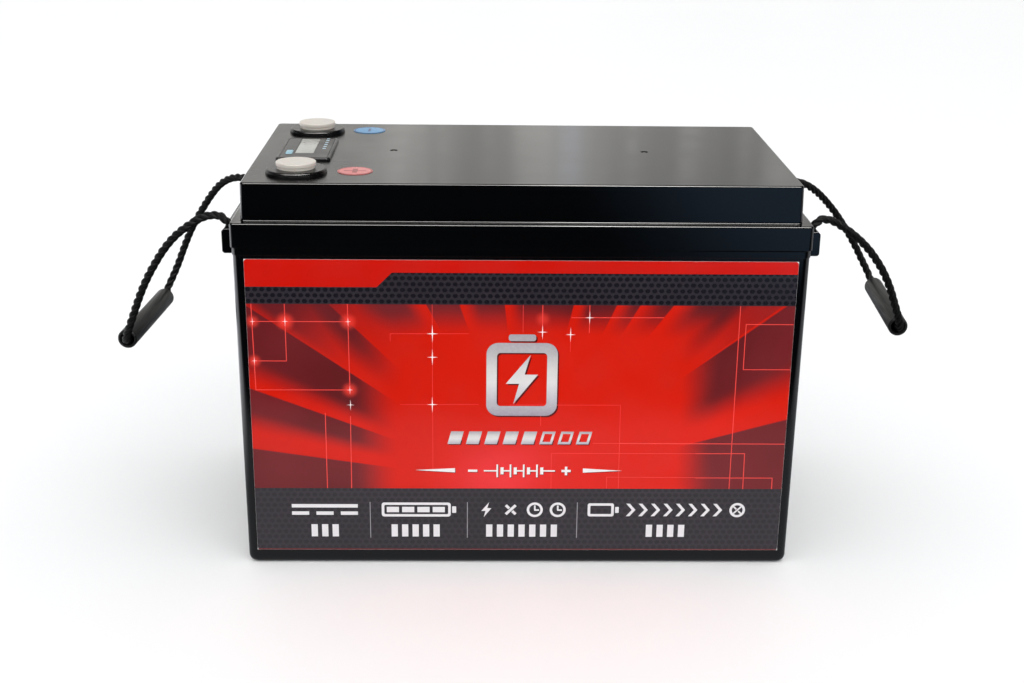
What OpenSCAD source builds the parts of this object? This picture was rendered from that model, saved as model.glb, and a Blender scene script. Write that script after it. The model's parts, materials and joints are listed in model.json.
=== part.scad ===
// Deep cycle battery, 12 V class: a moulded case with a raised lid, two screw terminals under
// pull-off caps, a flush meter with a wake key, and two rope handles with tubular grips.
// Inside are four prismatic cells in a strapped stack, a battery management board and its cables.
// Origin: middle of the footprint, on the floor. X is length, Y is depth (front at -Y), Z is up.

/* [Case] */
// Length of the lid rim, left to right
rim_l = 335; // [333:0.5:345]
// Depth of the lid rim, front to back
rim_d = 190; // [189:0.5:198]
// Height of the joint between case and lid
joint_z = 200.2; // [198:0.1:206]
// Height of the flange around the top of the case
flange_h = 4.4; // [3:0.1:6]
// How far each side leans in from the flange to the floor
draft = 0.9; // [0.4:0.1:1.2]
// Outer corner radius
corner_r = 5; // [3:0.5:8]
// Thickness of the floor
floor_t = 4.5; // [3.5:0.1:4.5]

/* [Lid] */
// Height of the lid rim above the joint
rim_h = 14.7; // [13:0.1:16]
// Height of the lid's raised top above the floor
lid_top_z = 237.15; // [236:0.05:242]
// How far the raised top steps in from the rim
step_in = 5.75; // [4:0.25:6]
// Thickness of the raised top
top_t = 4; // [3:0.1:4]
// Height of the round terminal boss above the lid
boss_h = 2.85; // [2:0.05:4]
// Diameter of the terminal boss
boss_d = 36; // [32:1:38]

/* [Terminals] */
// Distance of the terminals left of the middle
terminal_x = 132; // [130:1:134]
// Distance of each terminal in front of and behind the middle
terminal_y = 61; // [58:1:62]
// Diameter of the brass insert
insert_d = 16; // [14:0.5:16]
// Wall radius of the terminal's M8 thread
thread_r = 3.4; // [3.3:0.05:3.4]
// Depth of the terminal's thread
thread_depth = 14; // [10:0.5:14]
// Diameter of the pull-off cap
cap_d = 23.5; // [22:0.5:26]
// Height of the cap above the boss
cap_h = 4; // [3:0.1:6]

/* [Meter] */
// Length of the meter bezel, front to back
meter_l = 61; // [60:0.5:64]
// Width of the meter bezel, left to right
meter_w = 33; // [32:0.5:34]
// How far the meter stands out of the lid
meter_h = 2; // [1.5:0.1:2.5]
// Travel of the wake key
key_travel = 0.6; // [0.3:0.1:0.6]

/* [Handles] */
// Diameter of the twisted rope
rope_d = 5; // [4.6:0.1:5]
// Outer diameter of the grip tube
grip_d = 12; // [11:0.5:13]
// Bore of the grip tube
grip_bore = 8.6; // [8:0.1:9]
// Length of the grip tube
grip_l = 88; // [80:1:92]

/* [Cells] */
// Thickness of one cell
cell_t = 54; // [53:0.1:54]
// Width of one cell, front to back
cell_w = 174; // [172:0.5:174]
// Height of one cell without its posts
cell_h = 204.8; // [200:0.1:204.8]

/* [Hidden] */

eps = 0.01;
fit_gap = 0.05;     // radial clearance of a shaft in its hole
part_gap = 0.15;    // clearance on each side between plain neighbours

flange_z = joint_z - flange_h;
rim_top_z = joint_z + rim_h;
flange_in = 0.3;    // the case flange sits this far inside the lid rim
wall_in = 0.45;     // and the case wall this far inside the flange
case_l = rim_l - 2 * (flange_in + wall_in);
case_d = rim_d - 2 * (flange_in + wall_in);
foot_r = 4.5;
cavity_l = 323;
cavity_d = 178;
cavity_r = 4;

boss_z = lid_top_z + boss_h;
cap_z = boss_z + cap_h;
socket_d = 28;
socket_z = 226;
insert_z = 214;
insert_flange_d = 22;
insert_flange_t = 2;
insert_flange_z = boss_z - 5;    // the flange is moulded into the boss
lower_thread = [2.5, 8];    // radius and depth
seal_d = 1.4;
lug_bolt_l = 10;
lug_bolt_head = [11.5, 4];    // across the corners, and height
cap_skirt = [9, 10.2];    // inner and outer radius of the skirt that snaps into the boss
skirt_deep = 1.6;
cap_hollow = [7.5, 0.6];    // radius and depth of the hollow over the insert
disc_x = 98;
DISC_Y = [-57, 65.5];
disc_d = 20.6;
disc_t = 0.4;
dimple_at = [78.5, 3];
dimple_d = 5;
dimple_core_d = 2;
dimple_deep = 0.8;

// A tongue under the lid stands in a groove around the case, on a bead of sealant.
groove = [2.8, 0.4];    // outer and inner edge, outside the cavity wall
tongue = [2.6, 0.6];
groove_deep = 3;
tongue_deep = 1.8;
bead_t = 1;

// Meter: a bezel on the lid over a body let into it.
meter_x = -terminal_x + 0.3;
meter_top = lid_top_z + meter_h;
meter_body_z = 228;
body_l = meter_l - 5.7;
body_w = meter_w - 5.7;
body_t = 1.15;
bezel_w = 2;
window_deep = 0.6;
plate_z = lid_top_z - 0.25;    // underside of the bezel's plate
board_top_z = 232.6;
LCD_AT = [-terminal_x - 0.4, 5.8];
LCD_SIZE = [11.4, 43.4];
KEY_AT = [-terminal_x - 9.6, -13.5];
KEY_SIZE = [4, 9.4];
key_out = 0.4;

// Handle rails: one along each end of the case, with two holes for the rope.
rail_x0 = rim_l / 2 + 0.2;
rail_x1 = rim_l / 2 + 6;
rail_z0 = flange_z - 1.1;
rail_z1 = joint_z + 9;
rail_half = 85;
rope_x = rail_x0 + 2.5;
ROPE_Y = [-76, 22];
rope_hole_r = 2.2;
stop_pocket = [4.8, 9, 7.5];

// Rope routes, in outward X, Y and Z. A root, whose Y counts from its hole, stands in each rail
// hole. The loop between them swings about the line through its own two ends, at X 175.2 and
// Z 214.2.
ROOT_ROUTE = [
    [170.2, 0, 209.2], [170.2, 0, 209.4], [170.25, 0, 209.7], [170.4, 0.05, 210.2],
    [170.8, 0.15, 210.8], [171.4, 0.3, 211.3], [172.2, 0.5, 211.9]
];
LEFT_ROUTE = [
    [175.2, -74.6, 214.2], [180, -73.5, 214.3], [185, -72.4, 213], [190, -71.2, 210.4],
    [197, -69.5, 205.6], [204, -67.5, 199.6], [211, -65.5, 191.5], [218, -63, 181],
    [224, -61, 170.5], [229, -58.8, 160], [233.5, -56.7, 149], [237.3, -55, 139.5],
    [240.3, -52, 132], [241.8, -47.5, 128.3], [241.8, -41, 127.5], [240.5, -22, 127.5],
    [239, 0, 127.5], [237.5, 22, 127.5], [236.2, 41, 127.5], [235.9, 47.2, 128.2],
    [234.9, 51.4, 132.4], [232.1, 52.7, 138.4], [229.5, 53.2, 144], [227, 53.1, 149.7],
    [224.7, 52.7, 155.4], [222.3, 51.9, 161.1], [219.8, 50.8, 166.8], [217.2, 49.5, 172.2],
    [214.3, 48, 177.5], [211.3, 46.4, 182.6], [208.1, 44.6, 187.6], [204.9, 42.7, 192.6],
    [201.6, 40.6, 197.4], [198.1, 38.3, 202], [194.4, 35.6, 206.2], [190.2, 32.7, 209.7],
    [185.6, 29.6, 212.3], [180.4, 26.4, 213.8], [175.2, 23.4, 214.2]
];
RIGHT_ROUTE = [
    [175.2, -74.6, 214.2], [179.8, -73.5, 213.7], [184.4, -72.5, 211.9], [189, -71.5, 209],
    [194, -70, 205.6], [198.5, -68.8, 202], [203, -67.4, 198], [208, -65.8, 192.8],
    [213, -64, 186.5], [217.5, -62.2, 180], [221.5, -60.4, 173], [225, -58.5, 165.8],
    [228, -56.8, 158.5], [230.8, -55.3, 151.5], [233.5, -52.8, 145], [235.4, -49, 140],
    [236.1, -43.5, 138], [237.5, -22, 137.8], [239, 0, 137.8], [240.5, 22, 137.8],
    [241.9, 43.5, 138], [242, 48.3, 139], [241, 51.8, 141.9], [239.1, 53, 145.9],
    [236.4, 53, 150.8], [233.5, 52.6, 156], [230.6, 51.8, 161.2], [227.5, 50.8, 166.3],
    [224.3, 49.5, 171.4], [220.9, 48.2, 176.3], [217.5, 46.6, 181.1], [214, 44.8, 185.8],
    [210.4, 42.8, 190.3], [206.7, 40.5, 194.5], [203, 37.8, 198.5], [199.2, 34.8, 202.3],
    [195.3, 31.7, 205.8], [191.1, 28.6, 209], [186.5, 25.9, 211.8], [181.3, 24, 213.8],
    [175.2, 23.4, 214.2]
];
rope_ref = [0.6, -0.5, 0.62];   // no stretch of either route runs along this direction
grip_mid_x = 239;
grip_yaw = 4;
left_grip_z = 127.5;
right_grip_z = 137.8;

// Cell stack: four cells side by side along X with their wide faces together.
pad_t = 2;
cell_z = floor_t + pad_t;
cell_top = cell_z + cell_h;
spacer_t = 1;
pitch = cell_t + spacer_t;
stack_l = 4 * cell_t + 3 * spacer_t;
plate_t = 5;
stack_x1 = cavity_l / 2 - 3 - plate_t;
stack_x0 = stack_x1 - stack_l;
post_y = 61;
post_h = 2.4;
post_top = cell_top + post_h;
stud_r = 3;
link_t = 2;
nut_h = 5;
cable_r = 5;
cable_z = 217.2;
lug_t = 2.5;
lug_hole_r = 2.8;
lug_d = 18;
strap_t = 0.8;
strap_w = 16;
STRAP_ZS = [60, 150];

// Board and its metalwork stand on the left end plate.
bms_x = stack_x0 - plate_t;
bracket_t = 2;
standoff_h = 6.4;
board_t = 1.6;
board_x1 = bms_x - bracket_t - standoff_h;
board_x0 = board_x1 - board_t;
board_w = 116;
board_z0 = 30;
board_z1 = 196;
mosfet_t = 4.5;
sink_x1 = board_x0 - mosfet_t;
sink_t = 20;
post_block = [8, 14, 14];
BMS_POST_YS = [-38, -6];
bms_post_z = 150;
bms_stud_r = 2.5;

function unit(v) = v / norm(v);
function cell_x(i) = stack_x0 + cell_t / 2 + (i - 1) * pitch;
function spline_point(a, b, c, d, t) =
    0.5 * (2 * b + (c - a) * t + (2 * a - 5 * b + 4 * c - d) * t * t
        + (3 * b - a - 3 * c + d) * t * t * t);
function smooth_path(path, n) = [
    for (i = [0:len(path) - 2]) for (j = [0:n - 1])
        spline_point(path[max(i - 1, 0)], path[i], path[i + 1],
            path[min(i + 2, len(path) - 1)], j / n),
    path[len(path) - 1]
];
function tangent(path, i) = unit(path[min(i + 1, len(path) - 1)] - path[max(i - 1, 0)]);
function ring(centre, along, r, sides, ref) =
    let (u = unit(cross(along, ref)), v = cross(along, u))
    [for (k = [0:sides - 1]) centre + r * (cos(360 * k / sides) * u + sin(360 * k / sides) * v)];

// A tube of radius r along a path; domed gives it round ends centred on the end points.
module tube(path, r, sides, ref, domed = false) {
    last = len(path) - 1;
    t0 = unit(path[1] - path[0]);
    t1 = unit(path[last] - path[last - 1]);
    dome = domed ? [75, 50, 25] : [];
    rings = [
        for (a = dome) ring(path[0] - t0 * r * sin(a), t0, r * cos(a), sides, ref),
        for (i = [0:last]) ring(path[i], tangent(path, i), r, sides, ref),
        for (i = [len(dome) - 1:-1:0])
            ring(path[last] + t1 * r * sin(dome[i]), t1, r * cos(dome[i]), sides, ref)
    ];
    n = len(rings);
    polyhedron(
        points = [for (one = rings) each one],
        faces = [
            [for (k = [0:sides - 1]) k],
            for (i = [0:n - 2]) for (k = [0:sides - 1])
                [i * sides + k, (i + 1) * sides + k,
                    (i + 1) * sides + (k + 1) % sides, i * sides + (k + 1) % sides],
            [for (k = [sides - 1:-1:0]) (n - 1) * sides + k]
        ]
    );
}

module round_rect(l, d, r) {
    square([l - 2 * r, d], center = true);
    square([l, d - 2 * r], center = true);
    for (x = [-1, 1]) for (y = [-1, 1])
        translate([x * (l / 2 - r), y * (d / 2 - r)]) circle(r = r, $fn = 48);
}

module slab(l, d, h, r) {
    linear_extrude(h) round_rect(l, d, r);
}

// A ring around the cavity wall, between two distances outside it.
module rim_ring(edges, z, h) {
    translate([0, 0, z]) difference() {
        slab(cavity_l + 2 * edges[0], cavity_d + 2 * edges[0], h, cavity_r + edges[0]);
        translate([0, 0, -1])
            slab(cavity_l + 2 * edges[1], cavity_d + 2 * edges[1], h + 2, cavity_r + edges[1]);
    }
}

// A box whose sides lean in evenly from one level to the other.
module leaning_box(low, high, z0, z1, r) {
    hull() {
        translate([0, 0, z0]) slab(low[0], low[1], eps, r);
        translate([0, 0, z1 - eps]) slab(high[0], high[1], eps, r);
    }
}

module tube_ring(inner_r, outer_r, h) {
    difference() {
        cylinder(r = outer_r, h = h, $fn = 64);
        translate([0, 0, -1]) cylinder(r = inner_r, h = h + 2, $fn = 64);
    }
}

module at_terminals() {
    for (side = [-1, 1]) translate([-terminal_x, side * terminal_y, 0]) children();
}

module at_rope_holes() {
    for (x = [-1, 1]) for (y = ROPE_Y) translate([x * rope_x, y, 0]) children();
}

// ---- Case and lid ----

module rail() {
    chamfer = 1.5;
    inner = case_l / 2 - 1;
    rotate([90, 0, 0]) linear_extrude(2 * rail_half, center = true) polygon([
        [inner, rail_z0], [rail_x1 - 1, rail_z0], [rail_x1, rail_z0 + 1],
        [rail_x1, rail_z1 - chamfer], [rail_x1 - chamfer, rail_z1], [rail_x0, rail_z1],
        [rail_x0, joint_z], [inner, joint_z]
    ]);
}

module case() {
    color("#16171a") difference() {
        union() {
            hull() {
                translate([0, 0, 0])
                    slab(case_l - 2 * draft - foot_r, case_d - 2 * draft - foot_r, eps, corner_r);
                translate([0, 0, foot_r / 3])
                    slab(case_l - 2 * draft - foot_r / 3, case_d - 2 * draft - foot_r / 3, eps,
                        corner_r);
                translate([0, 0, foot_r])
                    slab(case_l - 2 * draft, case_d - 2 * draft, eps, corner_r);
                translate([0, 0, flange_z])
                    slab(case_l, case_d, eps, corner_r);
            }
            translate([0, 0, flange_z])
                slab(rim_l - 2 * flange_in, rim_d - 2 * flange_in, flange_h, corner_r);
            for (side = [0, 1]) mirror([side, 0, 0]) rail();
        }
        translate([0, 0, floor_t]) slab(cavity_l, cavity_d, joint_z, cavity_r);
        rim_ring(groove, joint_z - groove_deep, groove_deep + 1);
        at_rope_holes() {
            translate([0, 0, rail_z0 - 1]) cylinder(r = rope_hole_r, h = 20, $fn = 48);
            translate([0, 0, rail_z0 + stop_pocket[2] / 2 - eps])
                cube(stop_pocket, center = true);
        }
    }
}

module boss_socket() {
    translate([0, 0, socket_z]) cylinder(d = socket_d, h = lid_top_z - top_t - socket_z + 1, $fn = 64);
}

module lid() {
    shelf_t = 3;
    side_t = 2.5;
    lean = 0.4;
    edge_r = 3;
    step_z = rim_top_z - shelf_t;
    tier_l = rim_l - 2 * step_in;
    tier_d = rim_d - 2 * step_in;
    inner_l = tier_l - 2 * (side_t + lean);
    inner_d = tier_d - 2 * (side_t + lean);
    color("#17181b") difference() {
        union() {
            translate([0, 0, joint_z]) slab(rim_l, rim_d, rim_h, edge_r);
            leaning_box([tier_l, tier_d], [tier_l - 2 * lean, tier_d - 2 * lean],
                rim_top_z - 1, lid_top_z, edge_r);
            at_terminals() {
                translate([0, 0, lid_top_z - 1]) cylinder(d = boss_d, h = boss_h + 1, $fn = 96);
                boss_socket();
            }
            rim_ring(tongue, joint_z - tongue_deep, tongue_deep + 1);
        }
        difference() {
            translate([0, 0, joint_z - groove_deep])
                slab(cavity_l, cavity_d, step_z - joint_z + groove_deep, cavity_r);
            at_terminals() boss_socket();
        }
        difference() {
            translate([0, 0, step_z - 1])
                slab(inner_l, inner_d, lid_top_z - top_t - step_z + 1, edge_r);
            at_terminals() boss_socket();
        }
        at_terminals() {
            translate([0, 0, socket_z - 1]) cylinder(d = insert_d, h = 20, $fn = 64);
            translate([0, 0, insert_flange_z - part_gap])
                cylinder(d = insert_flange_d + 2 * part_gap, h = insert_flange_t + 2 * part_gap,
                    $fn = 64);
            translate([0, 0, boss_z - skirt_deep - part_gap])
                tube_ring(cap_skirt[0] - part_gap, cap_skirt[1] + part_gap, skirt_deep + 1);
            translate([0, 0, insert_flange_z - seal_d - part_gap])
                cylinder(d = insert_d + 2 * (seal_d + part_gap), h = 2, $fn = 64);
        }
        translate([meter_x, 0, lid_top_z - top_t - 1]) linear_extrude(10)
            square([body_w + 2 * part_gap, body_l + 2 * part_gap], center = true);
        for (x = [-1, 1]) translate([x * dimple_at[0], dimple_at[1], lid_top_z]) difference() {
            cylinder(d = dimple_d, h = 2 * dimple_deep, center = true, $fn = 32);
            cylinder(d = dimple_core_d, h = 3 * dimple_deep, center = true, $fn = 24);
        }
    }
}

module lid_seal() {
    color("#3a3a3a") rim_ring(tongue, joint_z - groove_deep + 0.1, bead_t);
}

module front_label() {
    label_z = [8.6, 193.9];
    label_t = 0.35;
    function wall_y(z) = -case_d / 2 + draft * (flange_z - z) / (flange_z - foot_r);
    color("#c81e14") rotate([90, 0, 90]) linear_extrude(320, center = true) polygon([
        [wall_y(label_z[0]) - 0.02, label_z[0]], [wall_y(label_z[0]) - label_t, label_z[0]],
        [wall_y(label_z[1]) - label_t, label_z[1]], [wall_y(label_z[1]) - 0.02, label_z[1]]
    ]);
}

// ---- Terminals ----

module terminal() {
    difference() {
        union() {
            translate([0, 0, insert_z]) cylinder(d = insert_d, h = boss_z - insert_z, $fn = 64);
            translate([0, 0, insert_flange_z])
                cylinder(d = insert_flange_d, h = insert_flange_t, $fn = 64);
        }
        translate([0, 0, boss_z - thread_depth])
            cylinder(r = thread_r, h = thread_depth + 1, $fn = 48);
        translate([0, 0, insert_z - 1]) cylinder(r = lower_thread[0], h = lower_thread[1] + 1, $fn = 48);
    }
}

module positive_terminal() {
    color("#c9a04a") translate([-terminal_x, -terminal_y, 0]) terminal();
}

module negative_terminal() {
    color("#c9a04a") translate([-terminal_x, terminal_y, 0]) terminal();
}

module terminal_seals() {
    color("#202020") at_terminals() translate([0, 0, insert_flange_z - seal_d / 2 - part_gap / 2])
        rotate_extrude($fn = 48) translate([(insert_d + seal_d + part_gap) / 2, 0])
            circle(d = seal_d, $fn = 24);
}

module terminal_bolts() {
    color("#b8bcc0") at_terminals() {
        translate([0, 0, insert_z - lug_t])
            cylinder(r = lower_thread[0] - fit_gap, h = lug_bolt_l, $fn = 48);
        translate([0, 0, insert_z - lug_t - lug_bolt_head[1]])
            cylinder(d = lug_bolt_head[0], h = lug_bolt_head[1], $fn = 6);
    }
}

module terminal_cap() {
    head_h = 2.1;
    chamfer = 0.6;
    neck_in = 0.7;
    groove_at = 3.4;
    difference() {
        union() {
            translate([0, 0, boss_z]) cylinder(d = cap_d - 2 * neck_in, h = cap_h - head_h, $fn = 96);
            translate([0, 0, cap_z - head_h]) rotate_extrude($fn = 96) polygon([
                [0, 0], [cap_d / 2, 0], [cap_d / 2, head_h - chamfer],
                [cap_d / 2 - chamfer, head_h], [0, head_h]
            ]);
            translate([0, 0, boss_z - skirt_deep])
                tube_ring(cap_skirt[0], cap_skirt[1], skirt_deep + 1);
        }
        translate([0, 0, boss_z - 1]) cylinder(r = cap_hollow[0], h = cap_hollow[1] + 1, $fn = 64);
        translate([0, 0, cap_z]) rotate_extrude($fn = 64) translate([cap_d / 2 - groove_at, 0])
            circle(r = 0.35, $fn = 16);
    }
}

module positive_cap() {
    color("#ddd6c8") translate([-terminal_x, -terminal_y, 0]) terminal_cap();
}

module negative_cap() {
    color("#ddd6c8") translate([-terminal_x, terminal_y, 0]) terminal_cap();
}

module polarity_disc() {
    translate([-disc_x, 0, lid_top_z]) cylinder(d = disc_d, h = disc_t, $fn = 64);
}

module positive_disc() {
    color("#e06a6a") translate([0, DISC_Y[0], 0]) polarity_disc();
}

module negative_disc() {
    color("#6fb4e6") translate([0, DISC_Y[1], 0]) polarity_disc();
}

// ---- Meter ----

// A block centred on the meter, between two levels.
module meter_block(l, w, z0, z1, r) {
    translate([meter_x, 0, z0]) slab(w, l, z1 - z0, r);
}

// Cuts a slot for a part of this size, up through the bezel.
module meter_slot(at, size) {
    translate([at[0], at[1], meter_body_z]) linear_extrude(20)
        square(size + 2 * [part_gap, part_gap], center = true);
}

module meter_housing() {
    color("#101114") difference() {
        union() {
            meter_block(meter_l, meter_w, lid_top_z, meter_top, 2.5);
            meter_block(body_l, body_w, meter_body_z, lid_top_z + eps, 1);
        }
        meter_block(body_l - 2 * body_t, body_w - 2 * body_t, meter_body_z - 1, plate_z, 0.5);
        meter_block(meter_l - 2 * bezel_w, meter_w - 2 * bezel_w, meter_top - window_deep,
            meter_top + 1, 1.5);
        meter_slot(LCD_AT, LCD_SIZE);
        meter_slot(KEY_AT, KEY_SIZE);
    }
}

module meter_window() {
    color("#24262a", 0.9) difference() {
        meter_block(meter_l - 2 * (bezel_w + part_gap), meter_w - 2 * (bezel_w + part_gap),
            meter_top - window_deep + 0.02, meter_top - 0.1, 1.4);
        meter_slot(KEY_AT, KEY_SIZE);
    }
}

module meter_lcd() {
    lcd_z = board_top_z + 0.1;
    color("#b9c2bd") translate([LCD_AT[0], LCD_AT[1], lcd_z])
        linear_extrude(meter_top - window_deep - 0.05 - lcd_z) square(LCD_SIZE, center = true);
}

module meter_board() {
    color("#1f6b3a") meter_block(body_l - 2 * body_t - 0.2, body_w - 2 * body_t - 0.2,
        board_top_z - board_t, board_top_z, 0.5);
}

module meter_switch() {
    color("#8f9499") translate([KEY_AT[0], KEY_AT[1], board_top_z + 0.05]) {
        linear_extrude(0.8) square(3.6, center = true);
        cylinder(d = 1.8, h = 0.95, $fn = 24);
    }
}

module meter_key() {
    key_z = board_top_z + 1.05 + key_travel;
    ledge_t = 1;
    color("#a9cbe0") translate([KEY_AT[0], KEY_AT[1], 0]) {
        translate([0, 0, key_z]) linear_extrude(meter_top + key_out - key_z)
            square(KEY_SIZE, center = true);
        translate([0, 0, plate_z - ledge_t - 0.02]) linear_extrude(ledge_t)
            square(KEY_SIZE + [0, 1.6], center = true);
    }
}

METER_ROUTE = [
    [-125, 12, 231], [-125, 12, 228], [-125, 12, 224], [-122, 15, 214], [-113, 24, 203],
    [-100, 34, 192], [-92, 40, 180], [-90, 42, 168], [-90, 42, 164], [-90, 42, 160]
];

module meter_cable() {
    color("#2a2a2e") tube(smooth_path(METER_ROUTE, 3), 1.6, 8, [1, 0.7, 0]);
}

// ---- Rope handles ----

module outward(side) {
    mirror([side < 0 ? 1 : 0, 0, 0]) children();
}

module rope_roots(side) {
    color("#121214") outward(side) for (y = ROPE_Y)
        translate([0, y, 0]) tube(ROOT_ROUTE, rope_d / 2, 10, [0, 1, 0]);
}

module rope_loop(side, route) {
    color("#121214") outward(side) tube(smooth_path(route, 2), rope_d / 2, 10, rope_ref, true);
}

module grip(x, z, yaw) {
    color("#2b2b2d") translate([x, 0, z]) rotate([0, 0, yaw]) rotate([90, 0, 0])
        rotate_extrude($fn = 64) polygon([
            [grip_bore / 2, -grip_l / 2 + 0.4], [grip_bore / 2 + 0.4, -grip_l / 2],
            [grip_d / 2 - 0.6, -grip_l / 2], [grip_d / 2, -grip_l / 2 + 0.6],
            [grip_d / 2, grip_l / 2 - 0.6], [grip_d / 2 - 0.6, grip_l / 2],
            [grip_bore / 2 + 0.4, grip_l / 2], [grip_bore / 2, grip_l / 2 - 0.4]
        ]);
}

module left_rope_roots() { rope_roots(-1); }
module right_rope_roots() { rope_roots(1); }
module left_rope_loop() { rope_loop(-1, LEFT_ROUTE); }
module right_rope_loop() { rope_loop(1, RIGHT_ROUTE); }
module left_grip() { grip(-grip_mid_x, left_grip_z, -grip_yaw); }
module right_grip() { grip(grip_mid_x, right_grip_z, -grip_yaw); }

module rope_end_stops() {
    color("#1a1a1c") at_rope_holes() {
        translate([0, 0, flange_z + 3.4]) cube([4.4, 8, 5.6], center = true);
        translate([0, 0, flange_z + 6]) cylinder(r = rope_hole_r - 0.1, h = rail_z1 - flange_z - 6,
            $fn = 32);
    }
}

// ---- Cells ----

module cell(i) {
    color("#3c6fae") translate([cell_x(i), 0, cell_z]) slab(cell_t, cell_w, cell_h, 2);
}

module cell_1() { cell(1); }
module cell_2() { cell(2); }
module cell_3() { cell(3); }
module cell_4() { cell(4); }

// Odd cells have their positive post at the front, even cells at the rear.
function positive_side(i) = i % 2 == 1 ? -1 : 1;

module post(i, side) {
    translate([cell_x(i), side * post_y, cell_top]) {
        cylinder(d = 18, h = post_h, $fn = 48);
        cylinder(r = stud_r, h = 12, $fn = 32);
    }
}

module cell_positive_posts() {
    color("#c8ccd0") for (i = [1:4]) post(i, positive_side(i));
}

module cell_negative_posts() {
    color("#b87333") for (i = [1:4]) post(i, -positive_side(i));
}

module cell_vents() {
    color("#d0d3d6") for (i = [1:4]) translate([cell_x(i), 22, cell_top])
        linear_extrude(0.5) round_rect(12, 22, 5.9);
}

module cell_spacers() {
    color("#e3dcae") for (i = [1:3])
        translate([cell_x(i) + cell_t / 2, -cell_w / 2 + 2, cell_z + 3])
            cube([spacer_t, cell_w - 4, cell_h - 8]);
}

module end_plate(x) {
    plate_w = cell_w - 2;
    color("#9aa0a6") difference() {
        translate([x, -plate_w / 2, cell_z + 1]) cube([plate_t, plate_w, 197]);
        for (y = [-1, 1]) for (z = STRAP_ZS)
            translate([x - 1, y * (plate_w / 2 - 6), z]) rotate([0, 90, 0])
                cylinder(r = 2.2, h = plate_t + 2, $fn = 32);
    }
}

module left_end_plate() { end_plate(stack_x0 - plate_t); }
module right_end_plate() { end_plate(stack_x1); }

module stack_straps() {
    l = stack_l + 2 * plate_t;
    mid = (stack_x0 + stack_x1) / 2;
    color("#b4b8bc") for (z = STRAP_ZS) translate([mid, 0, z + 8]) difference() {
        cube([l + 2 * strap_t, cell_w + 2 * strap_t, strap_w], center = true);
        cube([l, cell_w, strap_w + 1], center = true);
    }
}

module link(x, side) {
    translate([x, side * post_y, post_top]) linear_extrude(link_t) difference() {
        union() {
            square([pitch, 18], center = true);
            for (s = [-1, 1]) translate([s * pitch / 2, 0]) circle(d = 18, $fn = 48);
        }
        for (s = [-1, 1]) translate([s * pitch / 2, 0]) circle(r = stud_r + 0.3, $fn = 32);
    }
}

module cell_links() {
    color("#c77b3b") for (i = [1:3]) link(cell_x(i) + pitch / 2, i % 2 == 1 ? 1 : -1);
}

module link_nuts() {
    color("#c0c4c8") for (i = [1:4]) for (side = [-1, 1])
        translate([cell_x(i), side * post_y, post_top + link_t]) difference() {
            cylinder(d = 11.5, h = nut_h, $fn = 6);
            translate([0, 0, -1]) cylinder(r = stud_r + fit_gap, h = nut_h + 2, $fn = 32);
        }
}

module base_pad() {
    color("#4a4d52") translate([(stack_x0 + stack_x1) / 2, 0, floor_t])
        slab(stack_l + 8, cell_w, pad_t, 2);
}

module side_pads() {
    color("#4a4d52") {
        for (side = [-1, 1]) translate([(stack_x0 + stack_x1) / 2, side * (cavity_d / 2 - 0.6), 112])
            cube([stack_l - 20, 1.1, 50], center = true);
        translate([stack_x1 + plate_t + strap_t, -70, 20]) cube([3 - strap_t - 0.1, 140, 170]);
    }
}

module cell_cover() {
    color("#e8e2b8") translate([(stack_x0 + stack_x1) / 2 + 4, 0, 226.2])
        slab(stack_l - 14, 150, 1.2, 3);
}

module filler_foam() {
    color("#55585e") translate([-cavity_l / 2 + 1, -80, floor_t]) cube([44, 160, 130]);
}

// ---- Battery management board ----

module bms_bracket() {
    color("#8d9399") translate([bms_x - bracket_t, -62, 24]) difference() {
        cube([bracket_t - strap_t, 124, 176]);
        translate([-1, 30, 46]) cube([4, 64, 60]);
    }
}

BMS_FIXINGS = [for (y = [-52, 52]) for (z = [36, 190]) [y, z]];

module bms_standoffs() {
    color("#c2a24e") for (p = BMS_FIXINGS) translate([board_x1, p[0], p[1]]) rotate([0, 90, 0])
        difference() {
            cylinder(d = 6, h = standoff_h, $fn = 32);
            translate([0, 0, -1]) cylinder(r = 1.3, h = standoff_h + 2, $fn = 24);
        }
}

module bms_board() {
    color("#1d5f34") difference() {
        translate([board_x0, -board_w / 2, board_z0]) cube([board_t, board_w, board_z1 - board_z0]);
        for (p = BMS_FIXINGS) translate([board_x0 - 1, p[0], p[1]]) rotate([0, 90, 0])
            cylinder(r = 1.6, h = board_t + 2, $fn = 24);
    }
}

module bms_screws() {
    color("#c0c4c8") for (p = BMS_FIXINGS) translate([board_x0, p[0], p[1]]) rotate([0, 90, 0]) {
        translate([0, 0, -2.2]) cylinder(d = 5.4, h = 2.2, $fn = 32);
        cylinder(r = 1.25, h = 6, $fn = 24);
    }
}

module bms_mosfets() {
    color("#1a1a1a") for (row = [0, 1]) for (i = [0:5])
        translate([sink_x1, -50 + i * 17.4, 62 + row * 34]) cube([mosfet_t, 10, 15]);
}

module bms_heatsink() {
    fins = 12;
    color("#a7adb2") difference() {
        translate([sink_x1 - sink_t, -54, 46]) cube([sink_t, 108, 80]);
        for (i = [0:fins - 2]) translate([sink_x1 - sink_t - 1, -54 + 5 + i * 9, 45])
            cube([sink_t - 3, 6, 82]);
    }
}

module bms_posts() {
    color("#c9a04a") for (y = BMS_POST_YS) translate([board_x0 - post_block[0], y - 7, bms_post_z - 7])
        difference() {
            cube(post_block);
            translate([-1, 7, 7]) rotate([0, 90, 0]) cylinder(r = bms_stud_r, h = 8, $fn = 32);
        }
}

module bms_sockets() {
    color("#e8e6dc") {
        translate([board_x0 - 12, 36, 148]) cube([12, 12, 12]);
        translate([board_x0 - 9, 12, 172]) cube([9, 18, 10]);
    }
}

// ---- Wiring ----

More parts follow.
